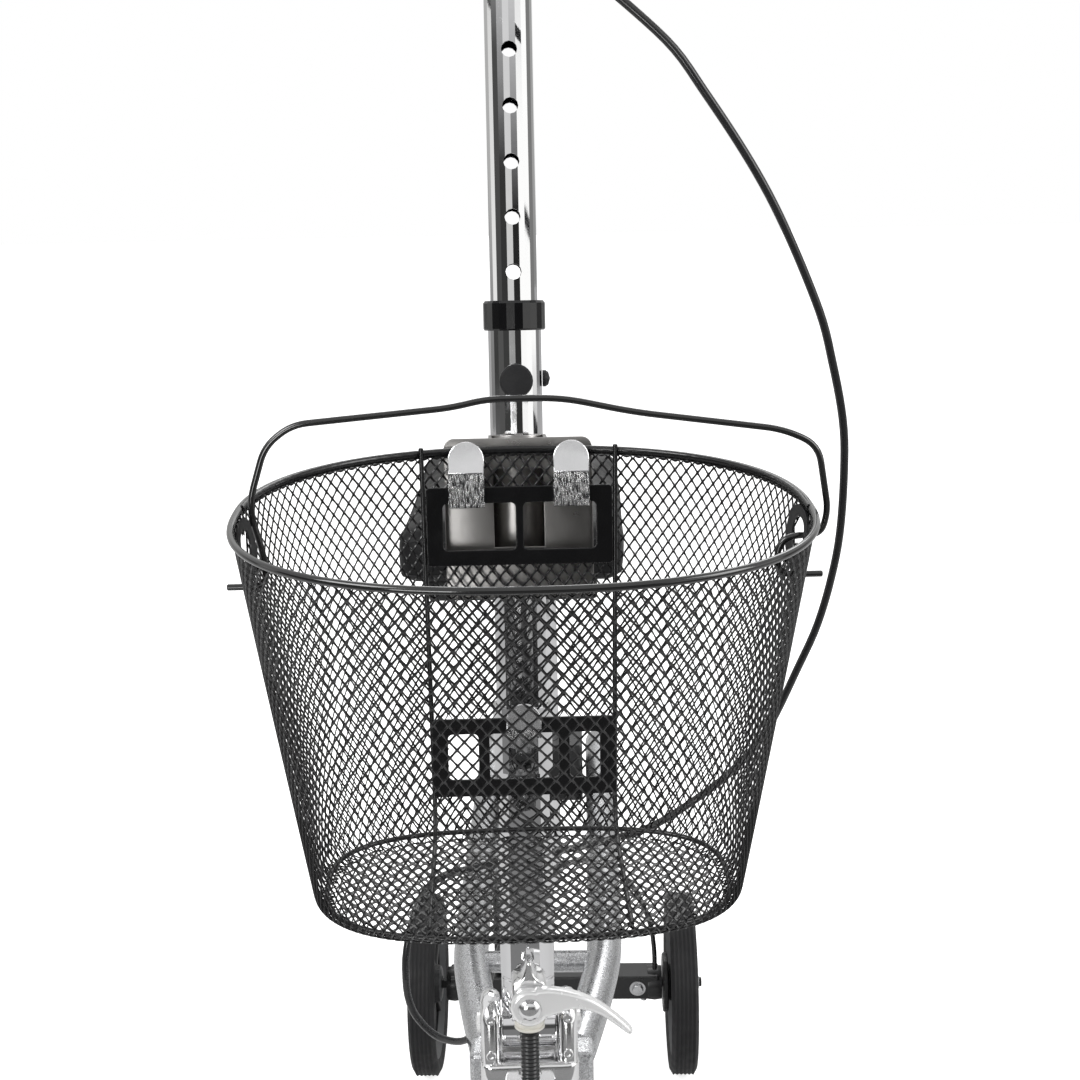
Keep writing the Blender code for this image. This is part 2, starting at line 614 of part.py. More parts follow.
def build_basket(basket, column):
    """The basket: wall and floor, rim and floor rings, two ribs, hanger plates and eyelets."""
    shell = add_object("basket_mesh", basket_shell_mesh(), "black_steel", parent=basket)
    thickness = shell.modifiers.new("thickness", "SOLIDIFY")
    thickness.thickness = WALL
    thickness.offset = -1.0
    for name, (low, high) in (("upper", UPPER_WINDOW), ("lower", LOWER_WINDOW)):
        window = block_mesh(f"{name}_window", (-0.048, -0.060, low), (0.048, -0.020, high))
        combine(shell, cutter(f"{name}_window", window, parent=column), "DIFFERENCE")
    pivot = (0.0, RIM_MIDDLE, -BAIL_PIVOT_DROP)
    oval = []
    for centre, start in (((-0.011, 0.0), 90), ((0.011, 0.0), -90)):
        oval += arc(centre, 0.0095, start, start + 180, 6)
    for side in (-1, 1):
        opening = prism_mesh("oval", [(a, b + 0.023) for a, b in oval], 0.12, 0.16, "X")
        place = (0.0 if side > 0 else -0.28, pivot[1], pivot[2])
        tool = cutter(f"hand_opening_{side}", opening, place, parent=basket)
        combine(shell, tool, "DIFFERENCE")
        stub = turned_mesh("stub_bore", rod_outline(0.0042, 0.11, 0.16), 12)
        spin = (0.0, side * pi / 2, 0.0)
        tool = cutter(f"stub_bore_{side}", stub, pivot, spin, basket)
        combine(shell, tool, "DIFFERENCE")

    rim = [basket_point(turn, 0.0) for turn in even_turns(48, 0.0)]
    rim = [Vector((p.x, p.y, RIM_WIRE + GAP)) for p in rim]
    rim_curve = tube_curve("rim_wire", rim, RIM_WIRE, 2, closed=True)
    add_object("rim_wire", rim_curve, "black_steel", parent=basket)
    ring = [basket_point(turn, BASKET_DEPTH, 0.0065) for turn in even_turns(44, BASKET_DEPTH)]
    ring = [Vector((p.x, p.y, -BASKET_DEPTH - 0.0019)) for p in ring]
    ring_curve = tube_curve("floor_ring", ring, 0.0016, 1, closed=True)
    add_object("floor_ring", ring_curve, "black_steel", parent=basket)

    for name, side in (("rib_right", -1), ("rib_left", 1)):
        inside = WALL + 0.0027
        route = [(side * 0.0560, wall_back(0.0560, 0.004) - inside, -0.004)]
        route += [(side * 0.0545, wall_back(0.0545, 0.200) - inside, -0.200)]
        route += [(side * 0.0540, wall_back(0.0540, 0.212) - 0.012, -0.2240)]
        route += [(side * 0.0540, FLOOR_MIDDLE - 0.040, -0.2240)]
        rib = tube_curve(name, rounded_path(route, 0.012, 4), 0.0015, 1)
        add_object(name, rib, "black_steel", parent=basket)

    def hanger(name, half, low, high, windows):
        plate = block_mesh(name, (-half, PLATE_FRONT, low), (half, PLATE_BACK, high), 0.0004)
        plate = add_object(name, plate, "black_plastic", parent=column)
        for index, (left, right, bottom, top) in enumerate(windows):
            hole = block_mesh("hole", (left, -0.06, bottom), (right, -0.03, top))
            tool = cutter(f"{name}_window_{index}", hole, parent=column)
            combine(plate, tool, "DIFFERENCE")

    wide = [(-0.0445, -0.0022, 0.2990, 0.3265), (0.0022, 0.0445, 0.2990, 0.3265)]
    hanger("upper_plate", 0.0540, 0.2900, 0.3360, wide)
    narrow = [(-0.0450, -0.0270, 0.1613, 0.1890), (-0.0205, 0.0205, 0.1613, 0.1890)]
    narrow += [(0.0270, 0.0450, 0.1613, 0.1890)]
    hanger("lower_plate", 0.0545, 0.1510, 0.1983, narrow)

    for name, side in (("eyelet_right", -1), ("eyelet_left", 1)):
        plate = [(-0.007, -0.007), (0.007, -0.007), (0.007, 0.007), (-0.007, 0.007)]
        wall = basket_point(0.0, BAIL_PIVOT_DROP).x
        near, far = side * (wall - WALL - 0.0030), side * (wall - WALL - 0.0018)
        obj = add_object(name, prism_mesh(name, plate, near, far, "X"), "black_steel", pivot)
        obj.parent = basket
        stub = turned_mesh("eyelet_bore", rod_outline(0.0036, 0.11, 0.16), 12)
        tool = cutter(f"{name}_bore", stub, pivot, (0.0, side * pi / 2, 0.0), basket)
        combine(obj, tool, "DIFFERENCE")


def build_bail(basket):
    """The carrying wire: one leg hangs inside the rim, the other outside it and hooks in."""
    axis = make_empty("bail_axis", (0.0, RIM_MIDDLE, -BAIL_PIVOT_DROP), parent=basket)
    up = BAIL_PIVOT_DROP
    left = [(-0.1515, 0.0, 0.0), (-0.1307, 0.0, 0.0), (-0.1320, 0.0, up * 0.5)]
    left += [(-0.1380, 0.0, up + 0.006), (-0.1280, 0.0, up + 0.037), (-0.1140, 0.0, up + 0.0478)]
    top = [(-0.0350, 0.0, up + 0.0548), (-0.0170, 0.0, up + 0.0588), (0.0200, 0.0, up + 0.0588)]
    top += [(0.0560, 0.0, up + 0.0508)]
    right = [(0.1308, 0.0, up + 0.0405), (0.1490, 0.0, up + 0.0320), (0.1550, 0.0, up - 0.0020)]
    right += [(0.1520, 0.0, up - 0.0165), (0.1325, 0.0, up - 0.0175), (0.1307, 0.0, 0.0)]
    right += [(0.1535, 0.0, 0.0)]
    path = rounded_path(left + top + right, 0.009, 2)
    add_object("bail_handle", tube_curve("bail_handle", path, BAIL_WIRE, 2), "black_steel", parent=axis)


# ---------------------------------------------------------------- frame, knee pad and brake


def build_frame():
    """Head tube, twin rails, cross tube, rear beam and the socket of the pad's post."""
    head = [(0.0215, -0.054), (0.0215, -0.066), (0.0190, -0.070), (0.0190, -0.160)]
    head += [(0.0215, -0.164), (0.0215, -0.178), (0.0134, -0.178), (0.0134, -0.054)]
    add_object("head_tube", turned_mesh("head_tube", head, 24), "silver_paint", parent=None)
    tube = bpy.data.objects["head_tube"]
    tube.location = HINGE
    tube.rotation_euler = (-RAKE, 0.0, 0.0)
    lug = block_mesh("head_lug", (-0.041, 0.0200, -0.100), (0.041, 0.0420, -0.052), 0.003)
    lug = add_object("head_lug", lug, "silver_paint", HINGE)
    around = turned_mesh("lug_seat", rod_outline(0.0218, -0.2, 0.0), 32)
    seat = cutter("lug_seat", around, HINGE, (-RAKE, 0.0, 0.0))
    combine(lug, seat, "DIFFERENCE")

    drop = RAIL_HEIGHT - HINGE.z
    bottom = WHEEL_RADIUS + 0.0155 - HINGE.z
    for name, side in (("rail_right", -1), ("rail_left", 1)):
        corners = [(side * 0.0285, 0.0445, drop), (side * RAIL_SPREAD, 0.174, drop)]
        corners += [(side * RAIL_SPREAD, WHEELBASE_REAR, drop)]
        corners += [(side * RAIL_SPREAD, WHEELBASE_REAR, bottom)]
        path = rounded_path(corners, 0.09, 8)
        rail = tube_curve(name, path, RAIL_RADIUS, 4)
        add_object(name, rail, "silver_paint", HINGE)
    sideways = (0.0, pi / 2, 0.0)
    reach = 0.0318
    cross = turned_mesh("cross_tube", rod_outline(0.0070, -reach, reach), 16)
    place = HINGE + Vector((0.0, 0.160, drop))
    add_object("cross_tube", cross, "silver_paint", place, sideways)

    beam_mesh = block_mesh("rear_beam", (-0.112, -0.015, -0.012), (0.112, 0.015, 0.0152), 0.002)
    place = Vector((HINGE.x, HINGE.y + WHEELBASE_REAR, WHEEL_RADIUS))
    beam = add_object("rear_beam", beam_mesh, "black_steel", place)
    axle = turned_mesh("rear_axle", rod_outline(0.005, -0.158, 0.158, 0.0005), 16)
    combine(beam, cutter("rear_axle", axle, place, sideways), "UNION")

    low, high = (-0.0345, -0.024, -0.026), (0.0345, 0.024, 0.030)
    socket = block_mesh("post_socket", low, high, 0.003)
    place = HINGE + Vector((0.0, POST_PLACE, drop))
    socket = add_object("post_socket", socket, "black_steel", place)
    bore = turned_mesh("post_bore", rod_outline(0.0131, -0.1, 0.1), 24)
    combine(socket, cutter("post_bore", bore, place), "DIFFERENCE")


def build_pad():
    """The knee rest: a post in the frame's socket, a plate on it and two pads."""
    place = Vector((HINGE.x, HINGE.y + POST_PLACE, 0.0))
    post = turned_mesh("pad_post", rod_outline(0.0127, 0.285, PAD_HEIGHT - 0.0216, 0.0005), 24)
    add_object("pad_post", post, "chrome", place)
    middle = POST_PLACE + 0.010
    plate_low = (PAD_OFFSET - 0.072, -0.120, -0.0213)
    plate_high = (PAD_OFFSET + 0.072, 0.120, -0.0003)
    plate = block_mesh("pad_plate", plate_low, plate_high, 0.004)
    location = Vector((HINGE.x, HINGE.y + middle, PAD_HEIGHT))
    add_object("pad_plate", plate, "black_steel", location)
    for name, side in (("pad_right", -1), ("pad_left", 1)):
        low = (-0.0455, -0.140, 0.0)
        high = (0.0455, 0.140, 0.048)
        pad = block_mesh(name, low, high, 0.012)
        place = location + Vector((PAD_OFFSET + side * 0.0485, 0.0, 0.0))
        add_object(name, pad, "vinyl", place)
    knob_axis = (-pi / 2, 0.0, 0.0)
    knob_place = HINGE + Vector((0.0, POST_PLACE, RAIL_HEIGHT - HINGE.z))
    outline = [(0.0, 0.0243), (0.0050, 0.0243), (0.0050, 0.0360), (0.0150, 0.0360)]
    outline += [(0.0165, 0.0380), (0.0165, 0.0500), (0.0150, 0.0520), (0.0, 0.0530)]
    knob = turned_mesh("post_knob", outline, 20)
    add_object("post_knob", knob, "black_plastic", knob_place, knob_axis)


def build_brake():
    """The drum by the left rear wheel, and the cable from the lever down to it."""
    drum = [(0.0300, 0.1162), (0.0310, 0.1172), (0.0310, 0.1206), (0.0300, 0.1216)]
    drum += [(0.0056, 0.1216), (0.0056, 0.1162)]
    place = Vector((HINGE.x, HINGE.y + WHEELBASE_REAR, WHEEL_RADIUS))
    mesh = turned_mesh("brake_drum", drum, 24)
    add_object("brake_drum", mesh, "black_steel", place, (0.0, pi / 2, 0.0))


CABLE_ROUTE = [  # from the hinge point, x to the left hand, y to the rear, z up
    (-0.1018, 0.0741, 0.6500),
    (-0.0470, 0.0452, 0.6560),
    (0.0136, 0.0347, 0.6420),
    (0.0816, 0.0300, 0.5908),
    (0.1114, 0.0300, 0.5543),
    (0.1476, 0.0370, 0.4987),
    (0.1772, 0.0450, 0.4357),
    (0.1885, 0.0500, 0.3987),
    (0.1964, 0.0550, 0.3630),
    (0.1989, 0.0600, 0.3325),
    (0.1982, 0.0630, 0.2922),
    (0.1942, 0.0660, 0.2607),
    (0.1870, 0.0700, 0.2282),
    (0.1761, 0.0730, 0.1986),
    (0.1578, 0.0780, 0.1536),
    (0.1369, 0.0800, 0.1245),
    (0.1115, 0.0820, 0.1013),
    (0.0809, 0.0820, 0.0811),
    (0.0500, 0.0820, 0.0711),
    (0.0264, 0.0820, 0.0654),
    (-0.0101, 0.0800, 0.0602),
    (-0.0369, 0.0750, 0.0557),
    (-0.0548, 0.0700, 0.0541),
    (-0.0658, 0.0620, 0.0497),
    (-0.0760, 0.0500, 0.0350),
    (-0.0815, 0.0420, 0.0137),
    (-0.0827, 0.0400, -0.0038),
    (-0.0818, 0.0420, -0.0241),
    (-0.0765, 0.0480, -0.0434),
    (-0.0640, 0.0620, -0.0670),
    (-0.0480, 0.0900, -0.0870),
    (-0.0400, 0.1300, -0.0900),
    (-0.0340, 0.2000, -0.0930),
    (-0.0220, 0.2900, -0.1000),
    (0.0050, 0.3800, -0.1120),
    (0.0450, 0.4600, -0.1450),
    (0.0800, 0.5250, -0.2050),
    (0.1000, 0.5750, -0.2750),
    (0.1060, 0.6000, -0.3200),
    (0.1075, 0.6140, -0.3550),
]


def build_cable():
    points = [HINGE + point for point in smooth_route(CABLE_ROUTE, 80)]
    cable = tube_curve("brake_cable", points, CABLE_RADIUS, 2)
    add_object("brake_cable", cable, "rubber")


def main():
    clear_scene()
    steering = make_empty("steering_line", HINGE, (-RAKE, 0.0, 0.0))
    turned = make_empty("turned_line", (0.0, 0.0, 0.0), (0.0, 0.0, STEERED), steering)
    fold = make_empty("fold_line", (0.0, 0.0, FOLD_PIN_HEIGHT), parent=turned)
    column = make_empty("column_line", (0.0, 0.0, -FOLD_PIN_HEIGHT), parent=fold)
    slider = make_empty("height_line", (0.0, 0.0, 0.0), parent=column)
    rim_along = (RIM_HEIGHT - HINGE.z) / cos(RAKE)
    basket = make_empty("basket_line", (0.0, 0.0, rim_along), (RAKE, 0.0, 0.0), column)
    build_front_end(steering, turned)
    build_front_wheels(steering)
    build_column(column)
    build_height_knob(column)
    build_latch(column)
    build_bracket(column)
    build_handlebar(slider)
    build_brake_lever(slider)
    build_basket(basket, column)
    build_bail(basket)
    build_frame()
    for name, side in (("rear_right_wheel", -1), ("rear_left_wheel", 1)):
        place = (HINGE.x + side * REAR_TRACK / 2, HINGE.y + WHEELBASE_REAR, WHEEL_RADIUS)
        build_wheel(name, place, None)
    build_pad()
    build_brake()
    build_cable()


main()
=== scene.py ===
"""Looks of the steerable knee scooter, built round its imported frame.

Metres, +Z up, and the scooter faces -Y. Pieces on the column are placed in column axes: across,
forward-and-back, and along the steering axis from the folding joint. Pieces of the basket are
placed in basket axes: upright, from the point where the steering axis meets the rim's height.
"""

from math import acos, cos, pi, radians, sin

import bmesh
import bpy
import numpy as np
from mathutils import Matrix, Vector


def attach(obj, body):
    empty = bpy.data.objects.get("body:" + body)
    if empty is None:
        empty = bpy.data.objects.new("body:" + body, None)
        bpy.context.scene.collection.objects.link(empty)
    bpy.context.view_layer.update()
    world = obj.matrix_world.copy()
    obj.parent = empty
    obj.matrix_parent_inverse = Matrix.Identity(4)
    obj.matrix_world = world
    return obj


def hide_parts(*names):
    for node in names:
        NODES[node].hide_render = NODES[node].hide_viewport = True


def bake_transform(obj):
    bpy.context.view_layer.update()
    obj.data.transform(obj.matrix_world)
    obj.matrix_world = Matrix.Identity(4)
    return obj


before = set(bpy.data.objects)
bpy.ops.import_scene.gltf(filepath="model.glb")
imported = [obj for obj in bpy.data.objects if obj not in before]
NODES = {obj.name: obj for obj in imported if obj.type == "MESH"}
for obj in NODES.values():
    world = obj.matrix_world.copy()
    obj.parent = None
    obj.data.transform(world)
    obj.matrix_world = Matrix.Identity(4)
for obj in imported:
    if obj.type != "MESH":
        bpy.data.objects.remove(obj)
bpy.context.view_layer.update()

# ---------------------------------------------------------------- sizes shared with the frame

HINGE = Vector((0.0015, -0.2366, 0.473))
RAKE = radians(8.5)
STEERED = radians(3.3)
AXIS = Vector((0.0, sin(RAKE), cos(RAKE)))
ACROSS = Vector((cos(STEERED), sin(STEERED) * cos(RAKE), -sin(STEERED) * sin(RAKE)))
BEHIND = AXIS.cross(ACROSS)
RIM_HEIGHT = 0.829
BASKET = HINGE + AXIS * ((RIM_HEIGHT - HINGE.z) / cos(RAKE))
UPRIGHT = Matrix((ACROSS, BEHIND * cos(RAKE) + AXIS * sin(RAKE), AXIS * cos(RAKE) - BEHIND * sin(RAKE)))
UPRIGHT.transpose()
RIM_HALF_WIDTH, RIM_HALF_DEPTH, RIM_MIDDLE = 0.1445, 0.1305, -0.166
FLOOR_HALF_WIDTH, FLOOR_HALF_DEPTH, FLOOR_MIDDLE = 0.119, 0.0685, -0.1345
BASKET_DEPTH = 0.228
FLOOR_EDGE = 0.01
RIM_WIRE = 0.0019
BAIL_DROP = 0.036
BAR_HEIGHT = 0.655
WHEEL_RADIUS = 0.095


def column(across, behind, along):
    """A world point from column axes."""
    return HINGE + ACROSS * across + BEHIND * behind + AXIS * along


def column_matrix(across=0.0, behind=0.0, along=0.0):
    turn = Matrix((ACROSS, BEHIND, AXIS)).transposed().to_4x4()
    return Matrix.Translation(column(across, behind, along)) @ turn


def basket(x, y, z):
    """A world point from basket axes."""
    return BASKET + UPRIGHT @ Vector((x, y, z))


def aimed(way, place):
    """A matrix whose Z points along a way, set at a place."""
    matrix = way.to_track_quat("Z", "Y").to_matrix().to_4x4()
    matrix.translation = place
    return matrix


FACING = column_matrix() @ Matrix.Rotation(pi / 2, 4, "X")  # X across, Y up the column, Z forward
SIDEWAYS = Matrix((-BEHIND, AXIS, -ACROSS)).transposed().to_4x4()  # X forward, Y up the column
SIDEWAYS.translation = HINGE


def shader_node(tree, kind, fixed=None, linked=None, **settings):
    """A new shader node, with settings of its own, and constants or links on its inputs."""
    node = tree.nodes.new("ShaderNode" + kind)
    for name, value in settings.items():
        setattr(node, name, value)
    for name, value in (fixed or {}).items():
        node.inputs[name].default_value = value
    for name, source in (linked or {}).items():
        tree.links.new(source, node.inputs[name])
    return node


def grey(level):
    return (level, level, level, 1.0)


# ---------------------------------------------------------------- camera, light and floor


def make_camera():
    pitch, yaw, roll = radians(16.7), radians(1.72), radians(1.33)
    forward = Vector((-sin(yaw) * cos(pitch), cos(yaw) * cos(pitch), -sin(pitch)))
    right = Vector((cos(yaw), sin(yaw), 0.0))
    up = right.cross(forward)
    level_right, level_up = right.copy(), up.copy()
    right = level_right * cos(roll) - level_up * sin(roll)
    up = level_right * sin(roll) + level_up * cos(roll)
    data = bpy.data.cameras.new("camera")
    data.lens = 53.333
    data.sensor_width = 36.0
    data.clip_start, data.clip_end = 0.05, 60.0
    camera = bpy.data.objects.new("camera", data)
    bpy.context.scene.collection.objects.link(camera)
    place = Matrix.Translation(HINGE + Vector((0.041, -0.8906, 0.575)))
    camera.matrix_world = place @ Matrix((right, up, -forward)).transposed().to_4x4()
    bpy.context.scene.camera = camera
    bpy.context.scene.view_settings.view_transform = "Standard"


STUDIO = [  # degrees round from the front towards +X, and how bright the studio is there
    (-180, 0.45), (-128, 0.5), (-108, 0.25), (-101, 1.0), (-92, 1.0), (-88, 0.05), (-60, 0.1),
    (-48, 0.03), (-30, 0.06), (-22, 0.03), (-16, 0.75), (-11, 0.75), (-7, 0.03), (8, 0.08),
    (20, 0.02), (36, 0.04), (43, 1.2), (100, 1.2), (106, 0.2), (140, 0.4), (180, 0.45),
]


def make_world():
    """A white studio that is dark in front, with a wide softbox to one side and thin strips."""
    world = bpy.data.worlds.new("studio")
    bpy.context.scene.world = world
    world.use_nodes = True
    tree = world.node_tree
    tree.nodes.clear()

    def math(kind, first, second):
        sockets = {0: first, 1: second}
        fixed = {key: value for key, value in sockets.items() if isinstance(value, float)}
        linked = {key: value for key, value in sockets.items() if key not in fixed}
        return shader_node(tree, "Math", fixed, linked, operation=kind).outputs[0]

    def mixed(factor, first, second):
        linked = {"Factor": factor, "A": first}
        return shader_node(tree, "Mix", {"B": second}, linked, data_type="RGBA").outputs["Result"]

    def band(low, high):
        fixed = {"From Min": low, "From Max": high}
        return shader_node(tree, "MapRange", fixed, {"Value": split.outputs["Z"]}).outputs["Result"]

    way = shader_node(tree, "TexCoord").outputs["Generated"]
    split = shader_node(tree, "SeparateXYZ", None, {0: way})
    turn = math("ARCTAN2", split.outputs["X"], math("MULTIPLY", split.outputs["Y"], -1.0))
    place = math("ADD", math("MULTIPLY", turn, 0.5 / pi), 0.5)
    ramp = shader_node(tree, "ValToRGB", None, {"Fac": place})
    stops = ramp.color_ramp.elements
    for index, (degrees_round, level) in enumerate(STUDIO):
        at = (degrees_round + 180.0) / 360.0
        stop = stops[index] if index < 1 else stops.new(at)
        stop.position = at
        stop.color = (level, level, level * 0.98, 1.0)
    ceiling = mixed(band(0.2, 0.34), ramp.outputs["Color"], grey(0.75))
    ground = mixed(band(-0.03, -0.12), ceiling, grey(0.22))
    seen = shader_node(tree, "LightPath").outputs["Is Camera Ray"]
    background = shader_node(tree, "Background", None, {"Color": mixed(seen, ground, grey(1.0))})
    shader_node(tree, "OutputWorld", None, {0: background.outputs[0]})


def make_light(name, place, target, size, watts):
    data = bpy.data.lights.new(name, "AREA")
    data.shape = "RECTANGLE"
    data.size, data.size_y = size
    data.energy = watts
    lamp = bpy.data.objects.new(name, data)
    bpy.context.scene.collection.objects.link(lamp)
    lamp.location = place
    lamp.rotation_euler = (Vector(target) - Vector(place)).to_track_quat("-Z", "Y").to_euler()
    lamp.visible_camera = False


def make_floor():
    corners = [(-6.0, -0.9, 0.0), (6.0, -0.9, 0.0), (6.0, 9.0, 0.0), (-6.0, 9.0, 0.0)]
    mesh = mesh_of("floor", corners, [(0, 1, 2, 3)])
    floor = bpy.data.objects.new("floor", mesh)
    bpy.context.scene.collection.objects.link(floor)
    paper = bpy.data.materials.new("studio_floor")
    paper.use_nodes = True
    tree = paper.node_tree
    shader = tree.nodes["Principled BSDF"]
    shader.inputs["Roughness"].default_value = 0.9
    shader.inputs["Emission Color"].default_value = grey(1.0)
    seen = shader_node(tree, "LightPath").outputs["Is Camera Ray"]
    shades = {"A": grey(0.56), "B": grey(0.92)}
    shade = shader_node(tree, "Mix", shades, {"Factor": seen}, data_type="RGBA")
    glow = shader_node(tree, "Math", {1: 0.7}, {0: seen}, operation="MULTIPLY")
    tree.links.new(shade.outputs["Result"], shader.inputs["Base Color"])
    tree.links.new(glow.outputs[0], shader.inputs["Emission Strength"])
    mesh.materials.append(paper)


# ---------------------------------------------------------------- materials


def add_relief(tree, source, height):
    """Bumps on the surface: source says where, height how deep in metres."""
    bump = shader_node(tree, "Bump", {"Distance": height, "Strength": 1.0}, {"Height": source})
    tree.links.new(bump.outputs["Normal"], tree.nodes["Principled BSDF"].inputs["Normal"])


def recolour(tree, source, dark, pale):
    """Colours a surface by a source; dark and pale are (position, colour)."""
    ramp = shader_node(tree, "ValToRGB", None, {"Fac": source})
    for stop, (position, colour) in zip(ramp.color_ramp.elements, (dark, pale)):
        stop.position = position
        stop.color = (*colour, 1.0)
    tree.links.new(ramp.outputs["Color"], tree.nodes["Principled BSDF"].inputs["Base Color"])


def finish(name, colour, roughness, metallic=0.0, grain=None, shade=0.0, coat=0.0, wear=0.0,
           gleam=0.5, cells=False):
    """A procedural material. grain is (points per metre, bump height in metres), in cells or in
    noise; shade is how much the colour wanders, wear how much the roughness does, and gleam the
    surface shine."""
    material = bpy.data.materials.new(name)
    material.use_nodes = True
    tree = material.node_tree
    shader = tree.nodes["Principled BSDF"]
    shader.inputs["Metallic"].default_value = metallic
    shader.inputs["Specular IOR Level"].default_value = gleam
    shader.inputs["Coat Weight"].default_value = coat
    shader.inputs["Coat Roughness"].default_value = 0.08
    place = {"Vector": shader_node(tree, "TexCoord").outputs["Object"]}

    def speckle(scale, detail=3.0):
        fixed = {"Scale": scale, "Detail": detail}
        return shader_node(tree, "TexNoise", fixed, place).outputs["Fac"]

    pale = (*[min(1.0, c * (1.0 + shade)) for c in colour], 1.0)
    tints = {"A": (*[c * (1.0 - shade) for c in colour], 1.0), "B": pale}
    mix = shader_node(tree, "Mix", tints, {"Factor": speckle(38.0, 5.0)}, data_type="RGBA")
    tree.links.new(mix.outputs["Result"], shader.inputs["Base Color"])
    limits = {"To Min": max(0.02, roughness - wear), "To Max": roughness + wear}
    limits.update({"From Min": 0.3, "From Max": 0.7})
    worn = shader_node(tree, "MapRange", limits, {"Value": speckle(95.0, 6.0)})
    tree.links.new(worn.outputs["Result"], shader.inputs["Roughness"])
    if grain:
        scale, height = grain
        if cells:
            relief = shader_node(tree, "TexVoronoi", {"Scale": scale}, place).outputs["Distance"]
        else:
            relief = speckle(scale)
        add_relief(tree, relief, height)
    return material


def sparkle_paint():
    """Silver metallic paint: bright flakes in grey under a clear coat."""
    material = finish("silver_sparkle", (0.4, 0.41, 0.42), 0.27, 0.95, None, 0.06, 0.25, 0.04)
    tree = material.node_tree
    place = shader_node(tree, "TexCoord").outputs["Object"]
    flakes = shader_node(tree, "TexVoronoi", {"Scale": 1900.0}, {"Vector": place}).outputs["Color"]
    recolour(tree, flakes, (0.15, (0.3, 0.3, 0.31)), (0.85, (0.78, 0.79, 0.8)))
    add_relief(tree, flakes, 0.00003)
    return material


CHROME = finish("bright_chrome", (0.82, 0.82, 0.83), 0.05, 1.0, (60.0, 0.00002), 0.02, 0.0, 0.02)
PRESSED = finish("pressed_steel", (0.36, 0.35, 0.34), 0.3, 1.0, (300.0, 0.00002), 0.05, 0.0, 0.03)
SILVER = sparkle_paint()
CAST = finish("cast_aluminium", (0.95, 0.95, 0.95), 0.24, 0.35, (400.0, 0.00003), 0.03, 0.3, 0.06)
POLISHED = finish("polished_casting", (0.92, 0.92, 0.925), 0.11, 0.92, (260.0, 0.00006), 0.03, 0.0, 0.05)
SATIN = finish("satin_chrome", (0.86, 0.86, 0.87), 0.16, 0.9, (300.0, 0.00002), 0.03, 0.0, 0.04)
ZINC = finish("zinc_plate", (0.62, 0.62, 0.63), 0.28, 0.9, (700.0, 0.00003), 0.1, 0.0, 0.08)
COATED = finish("powder_coat", (0.009, 0.009, 0.0095), 0.33, 0.0, (1500.0, 0.00006), 0.2, 0.1, 0.06)
WIRE_COAT = finish("wire_coat", (0.007, 0.007, 0.0075), 0.24, 0.0, (900.0, 0.00004), 0.2, 0.2, 0.05)
WIRE_GLOSS = finish("wire_gloss", (0.01, 0.01, 0.01), 0.14, 0.25, (600.0, 0.00002), 0.2, 0.9, 0.04)
GLOSS = finish("gloss_black", (0.005, 0.005, 0.0055), 0.13, 0.0, (420.0, 0.00002), 0.2, 0.2, 0.04)
MATTE = finish("matte_black", (0.011, 0.011, 0.012), 0.48, 0.0, (1400.0, 0.00008), 0.15, 0.0, 0.06, 0.35)
RUBBER = finish("tyre_rubber", (0.012, 0.012, 0.013), 0.58, 0.0, (800.0, 0.0001), 0.25, 0.0, 0.1, 0.4)
GRIP = finish("grip_rubber", (0.013, 0.013, 0.014), 0.7, 0.0, (1300.0, 0.00015), 0.2, 0.0, 0.08, 0.35, True)
VINYL = finish("pad_vinyl", (0.006, 0.006, 0.0065), 0.45, 0.0, (620.0, 0.00022), 0.25, 0.0, 0.08, 0.25, True)
THREAD = finish("black_thread", (0.016, 0.016, 0.017), 0.75, 0.0, (2500.0, 0.0001), 0.3, 0.0, 0.05, 0.3)
JACKET = finish("cable_jacket", (0.01, 0.01, 0.011), 0.28, 0.0, (1100.0, 0.00003), 0.2, 0.3, 0.06)
GREY_RIM = finish("wheel_plastic", (0.085, 0.087, 0.09), 0.42, 0.0, (1200.0, 0.00006), 0.1, 0.0, 0.06)
CREAM = finish("cream_washer", (0.74, 0.72, 0.66), 0.35, 0.0, (900.0, 0.00004), 0.05, 0.0, 0.05)


# ---------------------------------------------------------------- making pieces


def add(name, mesh, material, body, replaced=(), smooth=35.0):
    """Links a mesh as a piece that rides on a body and stands for the nodes it replaces."""
    piece = bpy.data.objects.new(name, mesh)
    bpy.context.scene.collection.objects.link(piece)
    mesh.materials.append(material)
    mesh.shade_smooth()
    mesh.set_sharp_from_angle(angle=radians(smooth))
    if "flat" in mesh:
        facing = Vector(mesh["flat"])
        for polygon in mesh.polygons:
            if abs(polygon.normal.dot(facing)) > 0.9999:
                polygon.use_smooth = False
    if body:
        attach(piece, body)
    if replaced:
        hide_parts(*replaced)
    return piece


def mesh_of(name, points, faces):
    mesh = bpy.data.meshes.new(name)
    mesh.from_pydata([tuple(p) for p in points], [], faces)
    mesh.validate()
    mesh.update()
    return mesh


def from_bm(name, bm, matrix=None):
    bmesh.ops.recalc_face_normals(bm, faces=bm.faces)
    mesh = bpy.data.meshes.new(name)
    bm.to_mesh(mesh)
    bm.free()
    if matrix is not None:
        mesh.transform(matrix)
    return mesh


def joined(name, meshes, matrix=None, weld=0.0):
    """One mesh out of several, with its normals made outward."""
    bm = bmesh.new()
    for mesh in meshes:
        bm.from_mesh(mesh)
        bpy.data.meshes.remove(mesh)
    if weld:
        bmesh.ops.remove_doubles(bm, verts=bm.verts, dist=weld)
    return from_bm(name, bm, matrix)


